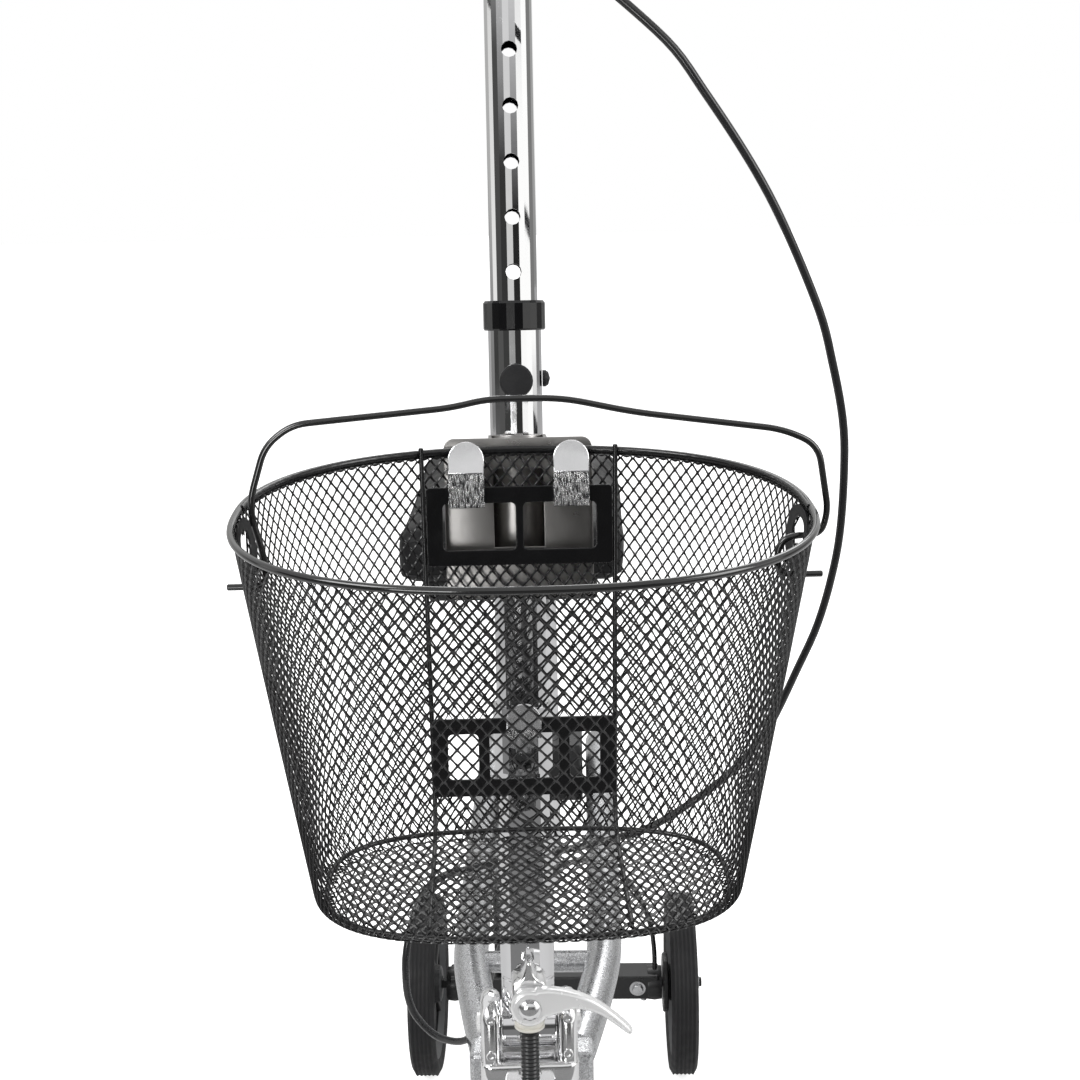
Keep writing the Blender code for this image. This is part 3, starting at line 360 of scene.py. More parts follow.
def swept(name, route, radius, sides=14, closed=False, eased=True):
    """A round tube along a route, with its ends eased unless it goes on in another piece."""
    route = [Vector(p) for p in route]
    radii = list(radius) if isinstance(radius, (list, tuple)) else [radius] * len(route)
    if not closed and eased:
        first = (route[1] - route[0]).normalized() * radii[0] * 0.3
        last = (route[-2] - route[-1]).normalized() * radii[-1] * 0.3
        route = [route[0], route[0] + first] + route[1:-1] + [route[-1] + last, route[-1]]
        radii = [radii[0] * 0.72, radii[0]] + radii[1:-1] + [radii[-1], radii[-1] * 0.72]
    count = len(route)
    points, faces = [], []
    across = None
    for index in range(count):
        before = route[index - 1] if closed or index else route[index]
        after = route[(index + 1) % count] if closed or index < count - 1 else route[index]
        way = (after - before).normalized()
        if across is None:
            across = Vector((0, 0, 1)) if abs(way.z) < 0.7 else Vector((1, 0, 0))
        across = (across - way * across.dot(way)).normalized()
        other = way.cross(across)
        for side in range(sides):
            angle = 2 * pi * side / sides
            spoke = across * cos(angle) + other * sin(angle)
            points.append(route[index] + spoke * radii[index])
    for index in range(count if closed else count - 1):
        here, there = index * sides, (index + 1) % count * sides
        for side in range(sides):
            after = (side + 1) % sides
            faces.append((here + side, here + after, there + after, there + side))
    if not closed:
        faces.append(tuple(reversed(range(sides))))
        faces.append(tuple(range((count - 1) * sides, count * sides)))
    return mesh_of(name, points, faces)


def curve_through(points, count):
    """count points along a smooth curve through the given ones, evenly spaced."""
    points = [Vector(p) for p in points]
    fine = []
    for index in range(len(points) - 1):
        a = points[max(index - 1, 0)]
        b, c = points[index], points[index + 1]
        d = points[min(index + 2, len(points) - 1)]
        for step in range(16):
            t = step / 16
            fine.append(
                0.5 * ((2 * b) + (c - a) * t + (2 * a - 5 * b + 4 * c - d) * t * t
                       + (3 * b - a - 3 * c + d) * t * t * t)
            )
    fine.append(points[-1])
    along = [0.0]
    for first, second in zip(fine, fine[1:]):
        along.append(along[-1] + (second - first).length)
    result = []
    place = 0
    for index in range(count):
        target = along[-1] * index / (count - 1)
        while place < len(fine) - 2 and along[place + 1] < target:
            place += 1
        share = (target - along[place]) / max(along[place + 1] - along[place], 1e-9)
        result.append(fine[place].lerp(fine[place + 1], min(share, 1.0)))
    return result


def rounded(corners, radius, steps=6):
    """A route through corners, each rounded by up to the given radius."""
    corners = [Vector(c) for c in corners]
    route = [corners[0]]
    for before, corner, after in zip(corners, corners[1:], corners[2:]):
        into, out = (before - corner), (after - corner)
        reach = min(radius, into.length * 0.45, out.length * 0.45)
        start, end = corner + into.normalized() * reach, corner + out.normalized() * reach
        for step in range(steps + 1):
            t = step / steps
            route.append(start * (1 - t) ** 2 + corner * 2 * t * (1 - t) + end * t * t)
    route.append(corners[-1])
    return route


def turned(name, outline, steps=40, matrix=None):
    """A body turned about Z. An outline starting on the axis is solid, else it is a ring."""
    solid = outline[0][0] < 1e-9
    points, faces, rings = [], [], []
    for radius, height in outline:
        if radius < 1e-9:
            rings.append([len(points)])
            points.append(Vector((0, 0, height)))
            continue
        rings.append(list(range(len(points), len(points) + steps)))
        for step in range(steps):
            angle = 2 * pi * step / steps
            points.append(Vector((radius * cos(angle), radius * sin(angle), height)))
    pairs = list(zip(rings, rings[1:]))
    if not solid:
        pairs.append((rings[-1], rings[0]))
    for low, high in pairs:
        for step in range(steps):
            after = (step + 1) % steps
            if len(low) == 1:
                faces.append((low[0], high[step], high[after]))
            elif len(high) == 1:
                faces.append((low[step], high[0], low[after]))
            else:
                faces.append((low[step], high[step], high[after], low[after]))
    return joined(name, [mesh_of(name, points, faces)], matrix)


def prism(name, outline, low, high, matrix=None, bevel=0.0, holes=()):
    """A flat shape in X and Y, from low to high along Z, with its edges eased."""
    curve = bpy.data.curves.new(name, "CURVE")
    curve.dimensions = "2D"
    curve.fill_mode = "BOTH"
    for loop in (outline, *holes):
        line = curve.splines.new("POLY")
        line.points.add(len(loop) - 1)
        for point, (x, y) in zip(line.points, loop):
            point.co = (x, y, 0.0, 1.0)
        line.use_cyclic_u = True
    curve.extrude = (high - low) / 2 - bevel
    curve.bevel_depth = bevel
    curve.bevel_resolution = 2 if bevel else 0
    curve.offset = -bevel
    holder = bpy.data.objects.new(name, curve)
    mesh = bpy.data.meshes.new_from_object(holder)
    bpy.data.objects.remove(holder)
    bpy.data.curves.remove(curve)
    matrix = matrix or Matrix.Identity(4)
    middle = matrix @ Matrix.Translation((0.0, 0.0, (low + high) / 2))
    mesh = joined(name, [mesh], middle, 1e-6)
    mesh["flat"] = tuple(matrix.to_3x3().col[2].normalized())
    return mesh


def round_box(left, bottom, right, top, radius, steps=6):
    """The outline of a rectangle with rounded corners."""
    outline = []
    corners = [(right - radius, top - radius, 0), (left + radius, top - radius, 90)]
    corners += [(left + radius, bottom + radius, 180), (right - radius, bottom + radius, 270)]
    for x, y, start in corners:
        for step in range(steps + 1):
            angle = radians(start + 90 * step / steps)
            outline.append((x + radius * cos(angle), y + radius * sin(angle)))
    return outline


def hexagon(radius):
    return [(radius * cos(pi * k / 3), radius * sin(pi * k / 3)) for k in range(6)]


def washer(radius, low, high, place, crown=0.0):
    outline = [(0.0, low), (radius, low), (radius, high), (0.0, high + crown)]
    return turned("washer", outline, 28, place)


def circle(x, y, radius, steps=28):
    turns = [2 * pi * step / steps for step in range(steps)]
    return [(x + radius * cos(turn), y + radius * sin(turn)) for turn in turns]


make_camera()
make_world()
make_floor()
make_light("key", (-1.6, -1.5, 2.4), (0.0, -0.1, 0.7), (1.2, 1.2), 30.0)
make_light("fill", (1.9, -1.0, 1.9), (0.0, -0.1, 0.6), (0.9, 1.4), 18.0)
make_light("low", (-0.5, -1.7, 0.75), (0.0, -0.2, 0.45), (0.5, 0.5), 5.0)
make_light("back", (0.3, 2.2, 2.4), (0.0, 0.0, 0.6), (2.0, 1.0), 18.0)

# ---------------------------------------------------------------- brake cable

CABLE = [  # from the hinge point, x to the left hand, y to the rear, z up
    (-0.1018, 0.0741, 0.65), (-0.047, 0.0452, 0.656), (0.0136, 0.0347, 0.642),
    (0.0816, 0.03, 0.5908), (0.1114, 0.03, 0.5543), (0.1476, 0.037, 0.4987),
    (0.1772, 0.045, 0.4357), (0.1885, 0.05, 0.3987), (0.1964, 0.055, 0.363),
    (0.1989, 0.06, 0.3325), (0.1982, 0.063, 0.2922), (0.1942, 0.066, 0.2607),
    (0.187, 0.07, 0.2282), (0.1761, 0.073, 0.1986), (0.1578, 0.078, 0.1536),
    (0.1369, 0.08, 0.1245), (0.1115, 0.082, 0.1013), (0.0809, 0.082, 0.0811),
    (0.05, 0.082, 0.0711), (0.0264, 0.082, 0.0654), (-0.0101, 0.08, 0.0602),
    (-0.0369, 0.075, 0.0557), (-0.0548, 0.07, 0.0541), (-0.0658, 0.062, 0.0497),
    (-0.076, 0.05, 0.035), (-0.0815, 0.042, 0.0137), (-0.0827, 0.04, -0.0038),
    (-0.0818, 0.042, -0.0241), (-0.0765, 0.048, -0.0434), (-0.064, 0.062, -0.067),
    (-0.048, 0.09, -0.087), (-0.04, 0.13, -0.09), (-0.034, 0.2, -0.093),
    (-0.022, 0.29, -0.1), (0.005, 0.38, -0.112), (0.045, 0.46, -0.145),
    (0.08, 0.525, -0.205), (0.1, 0.575, -0.275), (0.106, 0.6, -0.32),
    (0.1075, 0.614, -0.355),
]


def make_cable():
    """One real cable in four pieces; the three that span two bodies are left unattached, and only the tail
    rides on the frame.
    """
    route = curve_through([HINGE + Vector(p) for p in CABLE], 260)

    def nearest(index):
        spot = HINGE + Vector(CABLE[index])
        return min(range(len(route)), key=lambda i: (route[i] - spot).length)

    low, loop = nearest(5), nearest(26)
    clip = min(range(loop, len(route)), key=lambda i: abs(route[i].y - HINGE.y - 0.3))
    for name, start, end, bodies in (
        ("cable_upper", 0, low + 1, ("handlebar_assembly", "column")),
        ("cable_middle", low, loop + 1, ("column", "steerer")),
        ("cable_lower", loop, clip + 1, ("steerer", "frame")),
        ("cable_tail", clip, len(route), ("frame",)),
    ):
        line = route[start:end]
        mesh = swept(name, line, 0.0025, eased=False)
        body = bodies[0] if len(bodies) == 1 else None
        piece = add(name, mesh, JACKET, body, ["brake_cable"])
        if body is None:
            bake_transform(piece)


make_cable()

# ---------------------------------------------------------------- basket


CELLS = 119
COLUMNS = 2 * CELLS
FIRST_CELL = -0.0012
STRAND = 0.0011
FLOOR_STRAND = 0.0019
STRAND_THICK = 0.00105
WRAP_START, WRAP_END = -0.012, 0.485  # where the sheet is turned over the rim wire


def wall_point(turn, drop, inset):
    """Points on the basket's wall, in basket axes. turn and drop may be arrays."""
    share = drop / BASKET_DEPTH
    half_width = RIM_HALF_WIDTH + (FLOOR_HALF_WIDTH - RIM_HALF_WIDTH) * share - inset
    half_depth = RIM_HALF_DEPTH + (FLOOR_HALF_DEPTH - RIM_HALF_DEPTH) * share - inset
    middle = RIM_MIDDLE + (FLOOR_MIDDLE - RIM_MIDDLE) * share
    power = np.where(np.sin(turn) > 0, 2.25 + 0.75 * share, 2.4 + 0.4 * share)
    across = np.abs(np.cos(turn)) ** (2 / power) * np.sign(np.cos(turn))
    along = np.abs(np.sin(turn)) ** (2 / power) * np.sign(np.sin(turn))
    x, y = half_width * across, middle + half_depth * along
    return np.stack([x, y, -drop + 0 * x], axis=-1)


_fine = np.linspace(0.0, 2 * pi, 2881)
_steps = np.linalg.norm(np.diff(wall_point(_fine, 0.0 * _fine, 0.0), axis=0), axis=1)
_along = np.concatenate([[0.0], np.cumsum(_steps)])


def turn_at(share):
    """The turn that lies this share of the way round the rim, from +X towards the rear."""
    return np.interp(np.mod(share, 1.0) * _along[-1], _along, _fine)


def wall_surface(share, down, off=0.0):
    """A point this share round and this far down the wall, which bends under into the floor;
    off is outwards from the middle of the sheet."""

    def place(share, down):
        straight = BASKET_DEPTH - FLOOR_EDGE
        bend = np.clip((down - straight) / FLOOR_EDGE, 0.0, pi / 2)
        drop = np.minimum(down, straight) + FLOOR_EDGE * np.sin(bend)
        inset = FLOOR_EDGE * (1.0 - np.cos(bend)) + 0.001
        return wall_point(turn_at(share), drop, inset)

    here = place(share, down)
    if np.all(off == 0.0):
        return here
    tiny = 1e-4
    round_way = place(share + tiny, down) - place(share - tiny, down)
    down_way = place(share, down + tiny) - place(share, down - tiny)
    normal = np.cross(down_way, round_way)
    normal /= np.linalg.norm(normal, axis=-1, keepdims=True)
    return here + normal * np.asarray(off)[..., None]


def net(nodes, cells, surface, strand, thick):
    """A sheet of diamond openings. nodes gives each crossing's place on a flat chart, cells lists
    each opening's corners (top, right, bottom, left), and surface turns chart and offset into
    points. Every strand is a crest on both sides of its middle line."""
    points, faces, made = [], [], {}

    def point(key, place, off):
        if key not in made:
            made[key] = len(points)
            points.append((place[0], place[1], off))
        return made[key]

    for corners in cells:
        flat = [np.array(nodes[c]) for c in corners]
        centre = sum(flat) / 4
        outer_front, outer_back, inner = [], [], []
        for index in range(4):
            a, b = corners[index], corners[(index + 1) % 4]
            pa, pb = flat[index], flat[(index + 1) % 4]
            edge = tuple(sorted((a, b)))
            middle = (pa + pb) / 2
            outer_front += [point((a, 1), pa, thick / 2), point((edge, 1), middle, thick / 2)]
            outer_back += [point((a, 0), pa, -thick / 2), point((edge, 0), middle, -thick / 2)]
            before = flat[index - 1]
            ua, ub = (before - pa), (pb - pa)
            ua, ub = ua / np.linalg.norm(ua), ub / np.linalg.norm(ub)
            half = acos(max(-1.0, min(1.0, float(ua @ ub)))) / 2
            reach = 1.3 * strand / 2 / max(sin(half), 0.3)
            towards = centre - pa
            reach = min(reach, 0.6 * np.linalg.norm(towards))
            inside = pa + towards / np.linalg.norm(towards) * reach
            side = pb - pa
            normal = np.array([-side[1], side[0]]) / np.linalg.norm(side)
            if normal @ (centre - middle) < 0:
                normal = -normal
            inner.append(point((corners, index, 0), inside, 0.0))
            inner.append(point((corners, index, 1), middle + normal * strand / 2, 0.0))
        for index in range(8):
            after = (index + 1) % 8
            faces.append((outer_front[index], outer_front[after], inner[after], inner[index]))
            faces.append((outer_back[after], outer_back[index], inner[index], inner[after]))
    chart = np.array(points)
    return surface(chart[:, 0], chart[:, 1], chart[:, 2]), faces


def near_eye(share, drop, around):
    """Whether a spot of the wall lies in one of the openings that the bail hooks into."""
    gap = abs((share + 0.25) % 0.5 - 0.25) * around
    return (gap / 0.0125) ** 2 + ((drop - 0.015) / 0.009) ** 2 < 1.0


def behind_plate(spot):
    """Whether a spot of the wall lies behind one of the two hanger plates."""
    along = (RIM_HEIGHT - HINGE.z) / cos(RAKE) + spot[1] * sin(RAKE) + spot[2] * cos(RAKE)
    level = any(low < along < high for low, high in ((0.2935, 0.332), (0.156, 0.1945)))
    return level and abs(spot[0]) < 0.0475 and spot[1] > RIM_MIDDLE


def make_wall():
    """The wall: rows of diamond cells, closer at the top, with the bail's and hooks' openings."""
    around = float(_along[-1])
    length = BASKET_DEPTH - FLOOR_EDGE + FLOOR_EDGE * pi / 2
    rows = 47
    heights = [3.0] + [4.62 + 0.8 * row / rows for row in range(rows - 1)]
    downs = np.cumsum([0.0] + heights) * (length - FIRST_CELL) / sum(heights) + FIRST_CELL
    nodes, cells = {}, []
    for row in range(rows + 1):
        for index in range(-1, COLUMNS + 1):
            if (index + row) % 2 == 0:
                nodes[(index, row)] = (index / COLUMNS * around, downs[row])
                continue
            if not 0 < row < rows or not 0 <= index < COLUMNS:
                continue
            share, drop = index / COLUMNS, (downs[row - 1] + downs[row + 1]) / 2
            if not near_eye(share, drop, around) and not behind_plate(wall_surface(share, drop)):
                cells.append(((index, row - 1), (index + 1, row), (index, row + 1), (index - 1, row)))

    def surface(round_way, down, off):
        return wall_surface(round_way / around, down, off)

    points, faces = net(nodes, cells, surface, STRAND, STRAND_THICK)
    mesh = mesh_of("basket_wall", [basket(*p) for p in points], faces)
    bm = bmesh.new()
    bm.from_mesh(mesh)
    bmesh.ops.remove_doubles(bm, verts=bm.verts, dist=2e-6)
    bm.to_mesh(mesh)
    bm.free()
    add("basket_wall", mesh, WIRE_COAT, "basket", ["basket_mesh"], 80.0)


def make_floor_net():
    """The floor: the same mesh laid flat inside the turned-in edge of the wall."""
    pitch_x, pitch_y = 0.0037, 0.0047
    hw, hd = FLOOR_HALF_WIDTH - FLOOR_EDGE, FLOOR_HALF_DEPTH - FLOOR_EDGE
    nodes, cells = {}, []

    def size(x, y):
        power = 3.0 if y > 0 else 2.8
        return (abs(x / hw) ** power + abs(y / hd) ** power) ** (1 / power)

    reach_x, reach_y = int(hw / pitch_x) + 2, int(hd / pitch_y) + 2
    for i in range(-reach_x, reach_x + 1):
        for j in range(-reach_y, reach_y + 1):
            if (i + j) % 2 == 0:
                x, y = i * pitch_x, j * pitch_y
                far = size(x, y)
                if far > 1.0:
                    x, y = x / far, y / far
                nodes[(i, j)] = (x, y)
    for i in range(-reach_x + 1, reach_x):
        for j in range(-reach_y + 1, reach_y):
            if (i + j) % 2 == 1 and size(i * pitch_x, j * pitch_y) < 0.985:
                cells.append(((i, j - 1), (i + 1, j), (i, j + 1), (i - 1, j)))

    def surface(x, y, off):
        z = -BASKET_DEPTH + 0.001 + off
        return np.stack([x, FLOOR_MIDDLE + y, z], axis=-1)

    points, faces = net(nodes, cells, surface, FLOOR_STRAND, STRAND_THICK)
    mesh = mesh_of("basket_floor", [basket(*p) for p in points], faces)
    add("basket_floor", mesh, WIRE_COAT, "basket", (), 80.0)


def level_loop(drop, inset, z, count=168):
    """A level loop round the basket, in world metres."""
    shares = np.arange(count) / count
    loop = wall_point(turn_at(shares), drop + 0 * shares, inset)
    return [basket(x, y, z) for x, y, _ in loop]


def make_rims():
    top = level_loop(0.0, 0.0, RIM_WIRE + 0.0003)
    mesh = swept("rim_round", top, RIM_WIRE, 16, closed=True)
    add("rim_round", mesh, WIRE_GLOSS, "basket", ["rim_wire"])
    low = level_loop(BASKET_DEPTH, 0.0062, -BASKET_DEPTH + 0.0036)
    mesh = swept("floor_round", low, 0.0015, 12, closed=True)
    add("floor_round", mesh, WIRE_COAT, "basket", ["floor_ring"])

    # behind, the edge of the sheet is a plain band, turned over the inner side of the wire
    count, rings = 480, 8
    shares = WRAP_START + (WRAP_END - WRAP_START) * np.arange(count) / (count - 1)
    loop = wall_point(turn_at(shares), 0 * shares, 0.0)
    inward = wall_point(turn_at(shares), 0 * shares, 0.001) - loop
    inward /= np.linalg.norm(inward, axis=1, keepdims=True)
    points, faces = [], []
    for ring in range(rings):
        tilt = radians(-82 + 150 * (ring - 1) / (rings - 2))
        for index in range(count):
            wave = 0.5 + 0.5 * cos(2 * pi * shares[index] * CELLS)
            if ring == 0:
                across = Vector(inward[index]) * (RIM_WIRE * 0.3 + 0.0006)
                rise = Vector((0, 0, -0.0008 - 0.0012 * wave))
            else:
                radius = RIM_WIRE + 0.00035 + 0.00014 * cos(ring * 1.9) * (2 * wave - 1)
                if ring == rings - 1:
                    radius = RIM_WIRE - 0.0002
                across = Vector(inward[index]) * cos(tilt) * radius
                rise = Vector((0, 0, sin(tilt) * radius + RIM_WIRE + 0.0003))
            points.append(basket(*(Vector(loop[index]) + across + rise)))
    for ring in range(rings - 1):
        for index in range(count - 1):
            here, above = ring * count, (ring + 1) * count
            faces.append((here + index, here + index + 1, above + index + 1, above + index))
    mesh = mesh_of("rim_wrap", points, faces)
    wrap = add("rim_wrap", mesh, WIRE_COAT, "basket", (), 80.0)
    wrap.modifiers.new("thickness", "SOLIDIFY").thickness = 0.0004


def wall_back(across, drop):
    low, high = 0.01, pi / 2
    for _ in range(40):
        turn = (low + high) / 2
        if wall_point(np.array(turn), drop, 0.0)[0] > across:
            low = turn
        else:
            high = turn
    return float(wall_point(np.array(low), drop, 0.0)[1])


def make_ribs():
    """Two stays from the rim down the back, under the floor's ring and up to its front."""
    for name, node, side in (("stay_right", "rib_right", -1), ("stay_left", "rib_left", 1)):
        inside = 0.0038
        route = [(side * 0.056, wall_back(0.056, 0.0) - 0.0036, 0.0062)]
        for drop in (0.03, 0.08, 0.13, 0.17, 0.205):
            x = 0.056 - 0.002 * drop / 0.2
            route.append((side * x, wall_back(x, drop) - inside, -drop))
        route.append((side * 0.054, wall_back(0.054, 0.212) - 0.014, -0.2235))
        route += [(side * 0.054, FLOOR_MIDDLE + y, -0.224) for y in (0.03, 0.0, -0.03)]
        route.append((side * 0.054, FLOOR_MIDDLE - 0.052, -0.2238))
        line = rounded([basket(*p) for p in route], 0.01, 4)
        add(name, swept(name, line, 0.0014, 12), WIRE_COAT, "basket", [node])


def make_bail():
    up = BAIL_DROP
    left = [(-0.1515, 0.0, 0.0), (-0.1307, 0.0, 0.0), (-0.132, 0.0, up * 0.5)]
    left += [(-0.138, 0.0, up + 0.006), (-0.128, 0.0, up + 0.037), (-0.114, 0.0, up + 0.0478)]
    top = [(-0.035, 0.0, up + 0.0548), (-0.017, 0.0, up + 0.0588), (0.02, 0.0, up + 0.0588)]
    top += [(0.056, 0.0, up + 0.0508)]
    right = [(0.1308, 0.0, up + 0.0405), (0.149, 0.0, up + 0.032), (0.155, 0.0, up - 0.002)]
    right += [(0.152, 0.0, up - 0.0148), (0.1308, 0.0, up - 0.0156), (0.129, 0.0, 0.0)]
    right += [(0.1535, 0.0, 0.0)]
    route = [basket(x, RIM_MIDDLE + y, z - BAIL_DROP) for x, y, z in left + top + right]
    mesh = swept("bail_wire", rounded(route, 0.012, 6), 0.0017, 14)
    add("bail_wire", mesh, WIRE_GLOSS, "bail", ["bail_handle"])


def make_eye_plates():
    """The plate round each oval opening of the wall, where the bail hooks in."""
    around = float(_along[-1])
    for name, node, centre in (
        ("eye_plate_left", "eyelet_left", -0.0017),
        ("eye_plate_right", "eyelet_right", 0.5017),
    ):
        count = 40
        points, faces = [], []
        for level in (0.00065, 0.00165):
            for half_wide, half_tall, drop in ((0.0138, 0.0092, 0.015), (0.024, 0.0166, 0.017)):
                for step in range(count):
                    angle = 2 * pi * step / count
                    x = half_wide * abs(cos(angle)) ** 0.8 * np.sign(cos(angle))
                    z = drop - half_tall * abs(sin(angle)) ** 0.8 * np.sign(sin(angle))
                    z = max(z, 0.0004)
                    share = np.array([centre + x / around])
                    spot = wall_surface(share, np.array([z]), np.array([-level]))[0]
                    points.append(basket(*spot))
        order = [0, 1, 3, 2]
        for here, there in zip(order, order[1:] + order[:1]):
            for step in range(count):
                after = (step + 1) % count
                a, b = here * count, there * count
                faces.append((a + step, a + after, b + after, b + step))
        mesh = joined(name, [mesh_of(name, points, faces)])
        add(name, mesh, COATED, "basket", [node])


def make_hangers():
    """The two moulded plates that the hooks go through, with rounded windows."""
    plates = [
        ("hanger_upper", "upper_plate", (-0.054, 0.29, 0.054, 0.336, 0.0022),
         [(-0.0445, 0.299, -0.0022, 0.3265), (0.0022, 0.299, 0.0445, 0.3265)]),
        ("hanger_lower", "lower_plate", (-0.0545, 0.151, 0.0545, 0.1983, 0.0034),
         [(-0.045, 0.1613, -0.027, 0.189), (-0.0205, 0.1613, 0.0205, 0.189),
          (0.027, 0.1613, 0.045, 0.189)]),
    ]
    for name, node, outer, windows in plates:
        holes = [round_box(*window, 0.0028) for window in windows]
        mesh = prism(name, round_box(*outer), 0.0438, 0.0458, FACING, 0.0004, holes)
        add(name, mesh, GLOSS, "basket", [node])


def flat_curve(points, count):
    return [(p.x, p.y) for p in curve_through([(x, y, 0.0) for x, y in points], count)]


def drag_marks_and_painted_streaks():
    """Chrome with the vertical drag marks of a pressed bend as bumps, and painted reflection streaks: the
    same noise paints its colour from dark grey to white.
    """
    material = finish("drag_marks_and_painted_streaks", (0.8, 0.8, 0.81), 0.1, 1.0, None, 0.03, 0.0, 0.03)
    tree = material.node_tree
    place = shader_node(tree, "TexCoord").outputs["Object"]
    stretch = shader_node(tree, "Mapping", {"Scale": (1900.0, 250.0, 230.0)}, {"Vector": place})
    marks_and_painted_streaks = {"Scale": 1.0, "Detail": 4.0}
    noise = shader_node(tree, "TexNoise", marks_and_painted_streaks, {"Vector": stretch.outputs["Vector"]})
    add_relief(tree, noise.outputs["Fac"], 0.0016)
    # painted reflection: dark grey and white streaks in the chrome's colour stand in for light caught along
    # the drag marks
    recolour(tree, noise.outputs["Fac"], (0.43, (0.1, 0.1, 0.105)), (0.53, (1.0, 1.0, 1.0)))
    return material


def make_hooks():
    """Three tongues that run forward under a plate's bar, turn up and lean back at the top."""
    # chrome for the bends: real drag-mark bumps with painted reflection streaks in its colour
    bend_chrome_with_painted_streaks = drag_marks_and_painted_streaks()
    half, front, lean = 0.0104, 0.0491, radians(9.0)
    for name, node, x, shelf, bend, top, back in (
        ("hook_right", "upper_hook_right", -0.0303, 0.3262, 0.344, 0.3625, 0.0326),
        ("hook_left", "upper_hook_left", 0.0303, 0.3262, 0.344, 0.3625, 0.0326),
        ("hook_low", "lower_hook", 0.0, 0.1887, 0.192, 0.2075, 0.0186),
    ):
        tall = top - bend
        outline = [(-half, 0.0), (half, 0.0)]
        for step in range(15):
            turn = pi * step / 14
            outline.append((half * cos(turn), tall - half + half * sin(turn)))
        place = FACING @ Matrix.Translation((x, bend, front)) @ Matrix.Rotation(-lean, 4, "X")
        tongue = prism(f"{name}_face", outline, 0.0, 0.002, place, 0.0005)
        add(f"{name}_face", tongue, SATIN, "column", [node])
        profile = [(back, shelf - 0.002), (front + 0.0006, shelf - 0.002)]
        profile += [(front + 0.0015, shelf - 0.0015), (front + 0.002, shelf - 0.0004)]
        profile += [(front + 0.002, bend), (front, bend), (front, shelf), (back, shelf)]
        bend_mesh = prism(f"{name}_bend", profile, -half - x, half - x, SIDEWAYS, 0.0003)
        add(f"{name}_bend", bend_mesh, bend_chrome_with_painted_streaks, "column")


def make_bracket():
    """The bracket: a flat plate with a window, carried forward of the tube on two webs and a wrap."""
    low, high = 0.268, 0.363
    whole = round_box(-0.0435, low, 0.0435, high, 0.006)
    window = [(-0.0148, 0.2985), (-0.0148, 0.345), (0.0148, 0.345), (0.0148, 0.2985)]
    parts = [prism("plate", whole, 0.0302, 0.0322, FACING, 0.0004, [window])]
    for side in (-1, 1):
        inner, outer = side * 0.0152, side * 0.0172
        web = [(inner, -0.0306), (outer, -0.0306), (outer, -0.008), (inner, -0.008)]
        parts.append(prism("web", web, low, high, column_matrix()))
    turns = [radians(206 + 128 * step / 24) for step in range(25)]
    outline = [(0.0182 * cos(turn), 0.0182 * sin(turn)) for turn in turns]
    outline += [(0.0162 * cos(turn), 0.0162 * sin(turn)) for turn in reversed(turns)]
    parts.append(prism("hug", outline, low, high, column_matrix(), 0.0003))
    add("bracket", joined("bracket", parts), PRESSED, "column", ["bracket_plate"])


def screw_head(place, radius=0.0042):
    """A low round head with a hexagon socket's rim."""
    outline = [(0.0, 0.0), (radius, 0.0), (radius, radius * 0.35), (radius * 0.82, radius * 0.6)]
    outline += [(radius * 0.48, radius * 0.6), (radius * 0.44, radius * 0.2), (0.0, radius * 0.2)]
    return turned("screw", outline, 20, place)


